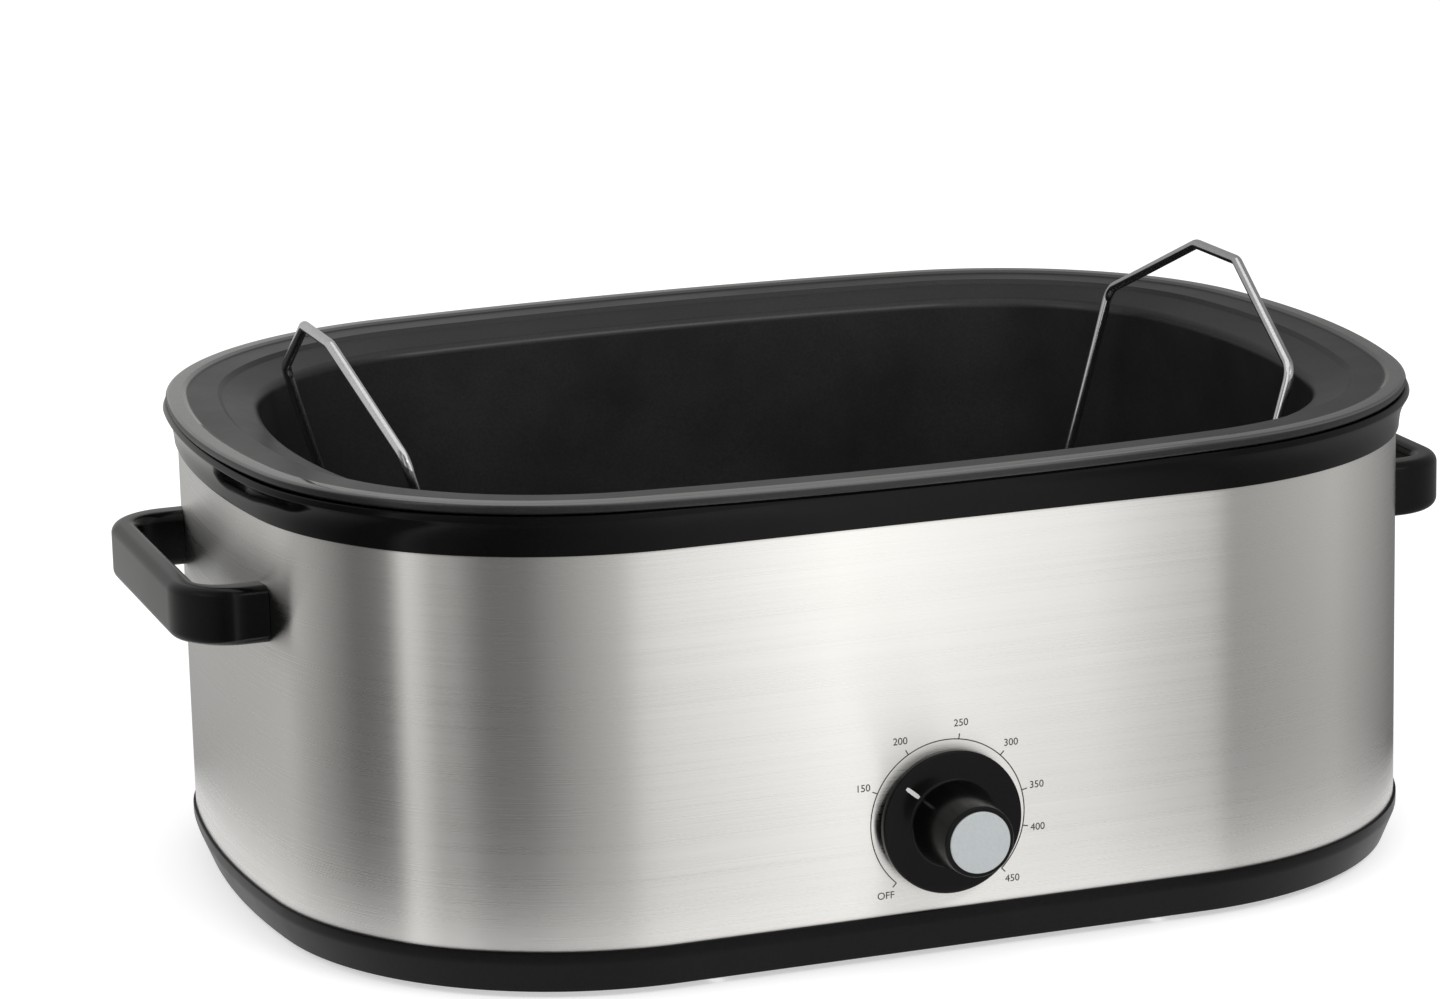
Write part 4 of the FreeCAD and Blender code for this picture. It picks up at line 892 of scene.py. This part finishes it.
def make_wire_tree():
    """Geometry nodes that lay a round wire along every line of edges."""
    tree = bpy.data.node_groups.new("laid_wire", "GeometryNodeTree")
    tree.interface.new_socket(name="Geometry", in_out="INPUT", socket_type="NodeSocketGeometry")
    radius = tree.interface.new_socket(name="Wire Radius", in_out="INPUT", socket_type="NodeSocketFloat")
    radius.default_value = WIRE_RADIUS
    sides = tree.interface.new_socket(name="Sides", in_out="INPUT", socket_type="NodeSocketInt")
    sides.default_value = WIRE_SIDES
    tree.interface.new_socket(name="Geometry", in_out="OUTPUT", socket_type="NodeSocketGeometry")
    inputs = tree.nodes.new("NodeGroupInput")
    outputs = tree.nodes.new("NodeGroupOutput")
    line = tree.nodes.new("GeometryNodeMeshToCurve")
    circle = tree.nodes.new("GeometryNodeCurvePrimitiveCircle")
    wire = tree.nodes.new("GeometryNodeCurveToMesh")
    wire.inputs["Fill Caps"].default_value = True
    real = tree.nodes.new("GeometryNodeRealizeInstances")
    paint = tree.nodes.new("GeometryNodeSetMaterial")
    paint.inputs["Material"].default_value = CHROME
    link = tree.links.new
    link(inputs.outputs["Geometry"], line.inputs["Mesh"])
    link(inputs.outputs["Wire Radius"], circle.inputs["Radius"])
    link(inputs.outputs["Sides"], circle.inputs["Resolution"])
    link(line.outputs["Curve"], wire.inputs["Curve"])
    link(circle.outputs["Curve"], wire.inputs["Profile Curve"])
    link(wire.outputs["Mesh"], real.inputs["Geometry"])
    link(real.outputs["Geometry"], paint.inputs["Geometry"])
    link(paint.outputs["Geometry"], outputs.inputs["Geometry"])
    return tree


WIRE_TREE = make_wire_tree()


def laid_wires(name, lines, radius):
    """Round wires of one thickness; each line is its points and whether it closes."""
    points = []
    edges = []
    for line, closed in lines:
        first = len(points)
        points += line
        edges += [(first + n, first + n + 1) for n in range(len(line) - 1)]
        if closed:
            edges.append((len(points) - 1, first))
    data = bpy.data.meshes.new(name + "_path")
    data.from_pydata(points, edges, [])
    base = new_object(name + "_path", data)
    modifier = base.modifiers.new("wire", "NODES")
    modifier.node_group = WIRE_TREE
    for item in WIRE_TREE.interface.items_tree:
        if item.in_out == "INPUT" and item.name == "Wire Radius":
            modifier[item.identifier] = radius
    return made_mesh(base, name)


def make_eye(x, y):
    """A short tube that a bail's pin turns in, lying along the depth."""
    middle = (EYE_RADIUS + EYE_BORE) / 2
    half = (EYE_RADIUS - EYE_BORE) / 2
    long = EYE_LENGTH / 2
    section = rounded([
        (half, -long, EYE_OUTER_ROUNDING), (half, long, EYE_OUTER_ROUNDING),
        (-half, long, EYE_INNER_ROUNDING), (-half, -long, EYE_INNER_ROUNDING),
    ], 3)
    circle = []
    for number in range(EYE_STEPS):
        angle = 2 * math.pi * number / EYE_STEPS
        way = Vector((math.cos(angle), math.sin(angle)))
        circle.append((way * middle, way))
    data = swept("hinge_eye", circle, section)
    data.transform(Matrix.Translation((x, y, HINGE_LEVEL)) @ TO_FRONT)
    return data


def make_rack():
    """Frame, cross wires, rails, feet and hinge eyes, welded into one rack."""
    foot = low("roasting_rack").z
    level = foot + RACK_STAND
    rail_level = level - RAIL_DROP
    half = high("roasting_rack").x - WIRE_RADIUS
    deep = high("roasting_rack").y - WIRE_RADIUS
    corners = ((half, -deep), (half, deep), (-half, deep), (-half, -deep))
    outline = rounded([(x, y, RACK_CORNER_RADIUS) for x, y in corners], 12)
    frame_line = [Vector((place.x, place.y, level)) for place in outline]
    wires = []
    for number in range(CROSS_WIRES):
        x = -HINGE_SIDE + 2 * HINGE_SIDE * number / (CROSS_WIRES - 1)
        wires.append(([Vector((x, -deep, level)), Vector((x, deep, level))], False))
    for y in (-RAIL_SPREAD, RAIL_SPREAD):
        wires.append(([Vector((-half, y, rail_level)), Vector((half, y, rail_level))], False))
    for x in (-FOOT_SIDE, FOOT_SIDE):
        for y in (-deep, deep):
            wires.append(([Vector((x, y, foot)), Vector((x, y, level))], False))
    meshes = [laid_wires("rack_frame", [(frame_line, True)], WIRE_RADIUS)]
    meshes.append(laid_wires("rack_wires", wires, THIN_WIRE_RADIUS))
    meshes += [make_eye(x, y) for x in (-HINGE_SIDE, HINGE_SIDE) for y in (-EYE_DEEP, EYE_DEEP)]
    data = joined("chrome_rack", meshes)
    smooth(data, WIRE_EDGE)
    return finish_piece(new_object("chrome_rack", data), "rack", CHROME, "rack_wire", "roasting_rack")


def make_bail(side, sign):
    """A tall bail: pins at its feet, straight leaning legs and a raised grip."""
    wide = BAIL_HALF_WIDTH
    top = BAIL_LEG + BAIL_RISE
    run = [
        (-wide - BAIL_PIN, 0, 0), (-wide, 0, BAIL_FOOT_BEND), (-wide, BAIL_LEG, BAIL_TOP_BEND),
        (-BAIL_HALF_GRIP, top, BAIL_TOP_BEND), (BAIL_HALF_GRIP, top, BAIL_TOP_BEND),
        (wide, BAIL_LEG, BAIL_TOP_BEND), (wide, 0, BAIL_FOOT_BEND), (wide + BAIL_PIN, 0, 0),
    ]
    lean = Matrix.Translation((sign * HINGE_SIDE, 0, HINGE_LEVEL)) @ Matrix.Rotation(sign * BAIL_LEAN, 4, "Y")
    line = [lean @ Vector((0, place.x, place.y)) for place in rounded(run, 12)]
    data = laid_wires(side + "_chrome_bail", [(line, False)], WIRE_RADIUS)
    smooth(data, WIRE_EDGE)
    piece = new_object(side + "_chrome_bail", data)
    return finish_piece(piece, side + "_bail", CHROME, "rack_wire", side + "_bail")


# Studio

def seen_or_mirrored(tree):
    """One for rays from the camera, a shiny surface or a clear one, nothing for the rest."""
    path = tree.nodes.new("ShaderNodeLightPath")
    seen = arithmetic(tree, "MAXIMUM", path.outputs["Is Camera Ray"], path.outputs["Is Glossy Ray"])
    return arithmetic(tree, "MAXIMUM", seen, path.outputs["Is Transmission Ray"])


def make_floor():
    """A wide pale floor that looks white and keeps a soft shadow."""
    mesh = bmesh.new()
    bmesh.ops.create_grid(mesh, x_segments=1, y_segments=1, size=FLOOR_HALF_SIZE)
    floor = new_object("studio_floor", as_mesh(mesh, "studio_floor"))
    material, tree, shader, place = start_material("studio_floor_white")
    faint = remap(tree, noise(tree, place, 3.0), 0.3, 0.7, 0.0, 1.0)
    tree.links.new(colour_between(tree, faint, grey(0.8), grey(0.83)), shader.inputs["Base Color"])
    shader.inputs["Roughness"].default_value = 0.9
    shader.inputs["Specular IOR Level"].default_value = 0.0
    shader.inputs["Emission Color"].default_value = (1, 1, 1, 1)
    glow = arithmetic(tree, "MULTIPLY", seen_or_mirrored(tree), FLOOR_LIFT)
    tree.links.new(glow, shader.inputs["Emission Strength"])
    floor.data.materials.append(material)


def make_world():
    """Soft even light, and plain white wherever the camera or a shiny piece looks."""
    world = bpy.data.worlds.new("studio")
    bpy.context.scene.world = world
    world.use_nodes = True
    tree = world.node_tree
    background = tree.nodes["Background"]
    strength = remap(tree, seen_or_mirrored(tree), 0.0, 1.0, WORLD_LIGHT, 1.0)
    tree.links.new(strength, background.inputs["Strength"])
    background.inputs["Color"].default_value = (1, 1, 1, 1)


def make_reflection_cards():
    """Light and dark cards in a ring close round the object, seen only in its shiny surfaces."""
    inner = CARD_DISTANCE
    outer = CARD_DISTANCE + CARD_THICKNESS
    foot = 1 * MM
    section = rounded([(inner, foot, 0), (outer, foot, 0), (outer, CARD_HEIGHT, 0), (inner, CARD_HEIGHT, 0)])
    cards = new_object("reflection_cards", swept("reflection_cards", CASE_OUTLINE, section))
    material, tree, shader, place = start_material("card_faces")
    parts = tree.nodes.new("ShaderNodeSeparateXYZ")
    tree.links.new(place, parts.inputs["Vector"])
    front = arithmetic(tree, "MULTIPLY", parts.outputs["Y"], -1.0)
    angle = arithmetic(tree, "ARCTAN2", parts.outputs["X"], front)
    ramp = tree.nodes.new("ShaderNodeValToRGB")
    tree.links.new(remap(tree, angle, -math.pi, math.pi, 0.0, 1.0), ramp.inputs["Fac"])
    stops = ramp.color_ramp.elements
    stops.remove(stops[-1])
    brightest = max(level for _, level in CARDS)
    for number, (degrees, level) in enumerate(CARDS):
        stop = stops[0] if number == 0 else stops.new(1.0)
        share = level / brightest
        stop.position = (degrees + 180) / 360
        stop.color = (share, share, share * CARD_BLUE, 1)
    shader.inputs["Base Color"].default_value = (0, 0, 0, 1)
    shader.inputs["Specular IOR Level"].default_value = 0.0
    tree.links.new(ramp.outputs["Color"], shader.inputs["Emission Color"])
    strength = remap(tree, parts.outputs["Z"], 0.0, CARD_FULL_HEIGHT, brightest * CARD_FOOT_SHARE, brightest)
    tree.links.new(strength, shader.inputs["Emission Strength"])
    cards.data.materials.append(material)
    cards.visible_camera = False
    cards.visible_diffuse = False
    cards.visible_transmission = False
    cards.visible_shadow = False


def add_lamp(name, place, width, height, power):
    """A softbox that faces the object."""
    lamp = bpy.data.lights.new(name, "AREA")
    lamp.shape = "RECTANGLE"
    lamp.size = width
    lamp.size_y = height
    lamp.energy = power
    obj = new_object(name, lamp)
    way = Vector(LAMP_AIM) - Vector(place)
    obj.location = place
    obj.rotation_mode = "QUATERNION"
    obj.rotation_quaternion = way.to_track_quat("-Z", "Y")


def make_camera():
    """The camera of the photograph, looking at its target with a slight roll."""
    camera = bpy.data.cameras.new("photo_camera")
    camera.lens = CAMERA_LENS
    camera.sensor_width = 36
    camera.sensor_fit = "HORIZONTAL"
    camera.clip_end = 100
    obj = new_object("photo_camera", camera)
    back = Vector((
        math.sin(CAMERA_AZIMUTH) * math.cos(CAMERA_ELEVATION),
        -math.cos(CAMERA_AZIMUTH) * math.cos(CAMERA_ELEVATION),
        math.sin(CAMERA_ELEVATION),
    ))
    level = Vector((0, 0, 1)).cross(back).normalized()
    above = back.cross(level)
    right = level * math.cos(CAMERA_ROLL) + above * math.sin(CAMERA_ROLL)
    up = above * math.cos(CAMERA_ROLL) - level * math.sin(CAMERA_ROLL)
    turn = Matrix((right, up, back)).transposed().to_4x4()
    obj.matrix_world = Matrix.Translation(CAMERA_TARGET + back * CAMERA_DISTANCE) @ turn
    bpy.context.scene.camera = obj


def main():
    make_camera()
    dress_nodes()
    make_case_wall()
    make_base_skirt()
    make_collar()
    make_pan()
    make_handles()
    make_knob()
    make_rack()
    make_bail("right", 1)
    make_bail("left", -1)
    make_dial_line()
    make_dial_ticks()
    make_dial_numbers()
    make_pointer()
    make_floor()
    make_world()
    make_reflection_cards()
    add_lamp("key_softbox", place=(0.9, -2.4, 2.2), width=1.6, height=0.5, power=22)
    add_lamp("fill_softbox", place=(-2.4, -0.8, 1.8), width=1.4, height=0.5, power=9)
    bpy.context.scene.view_settings.view_transform = "Standard"


main()
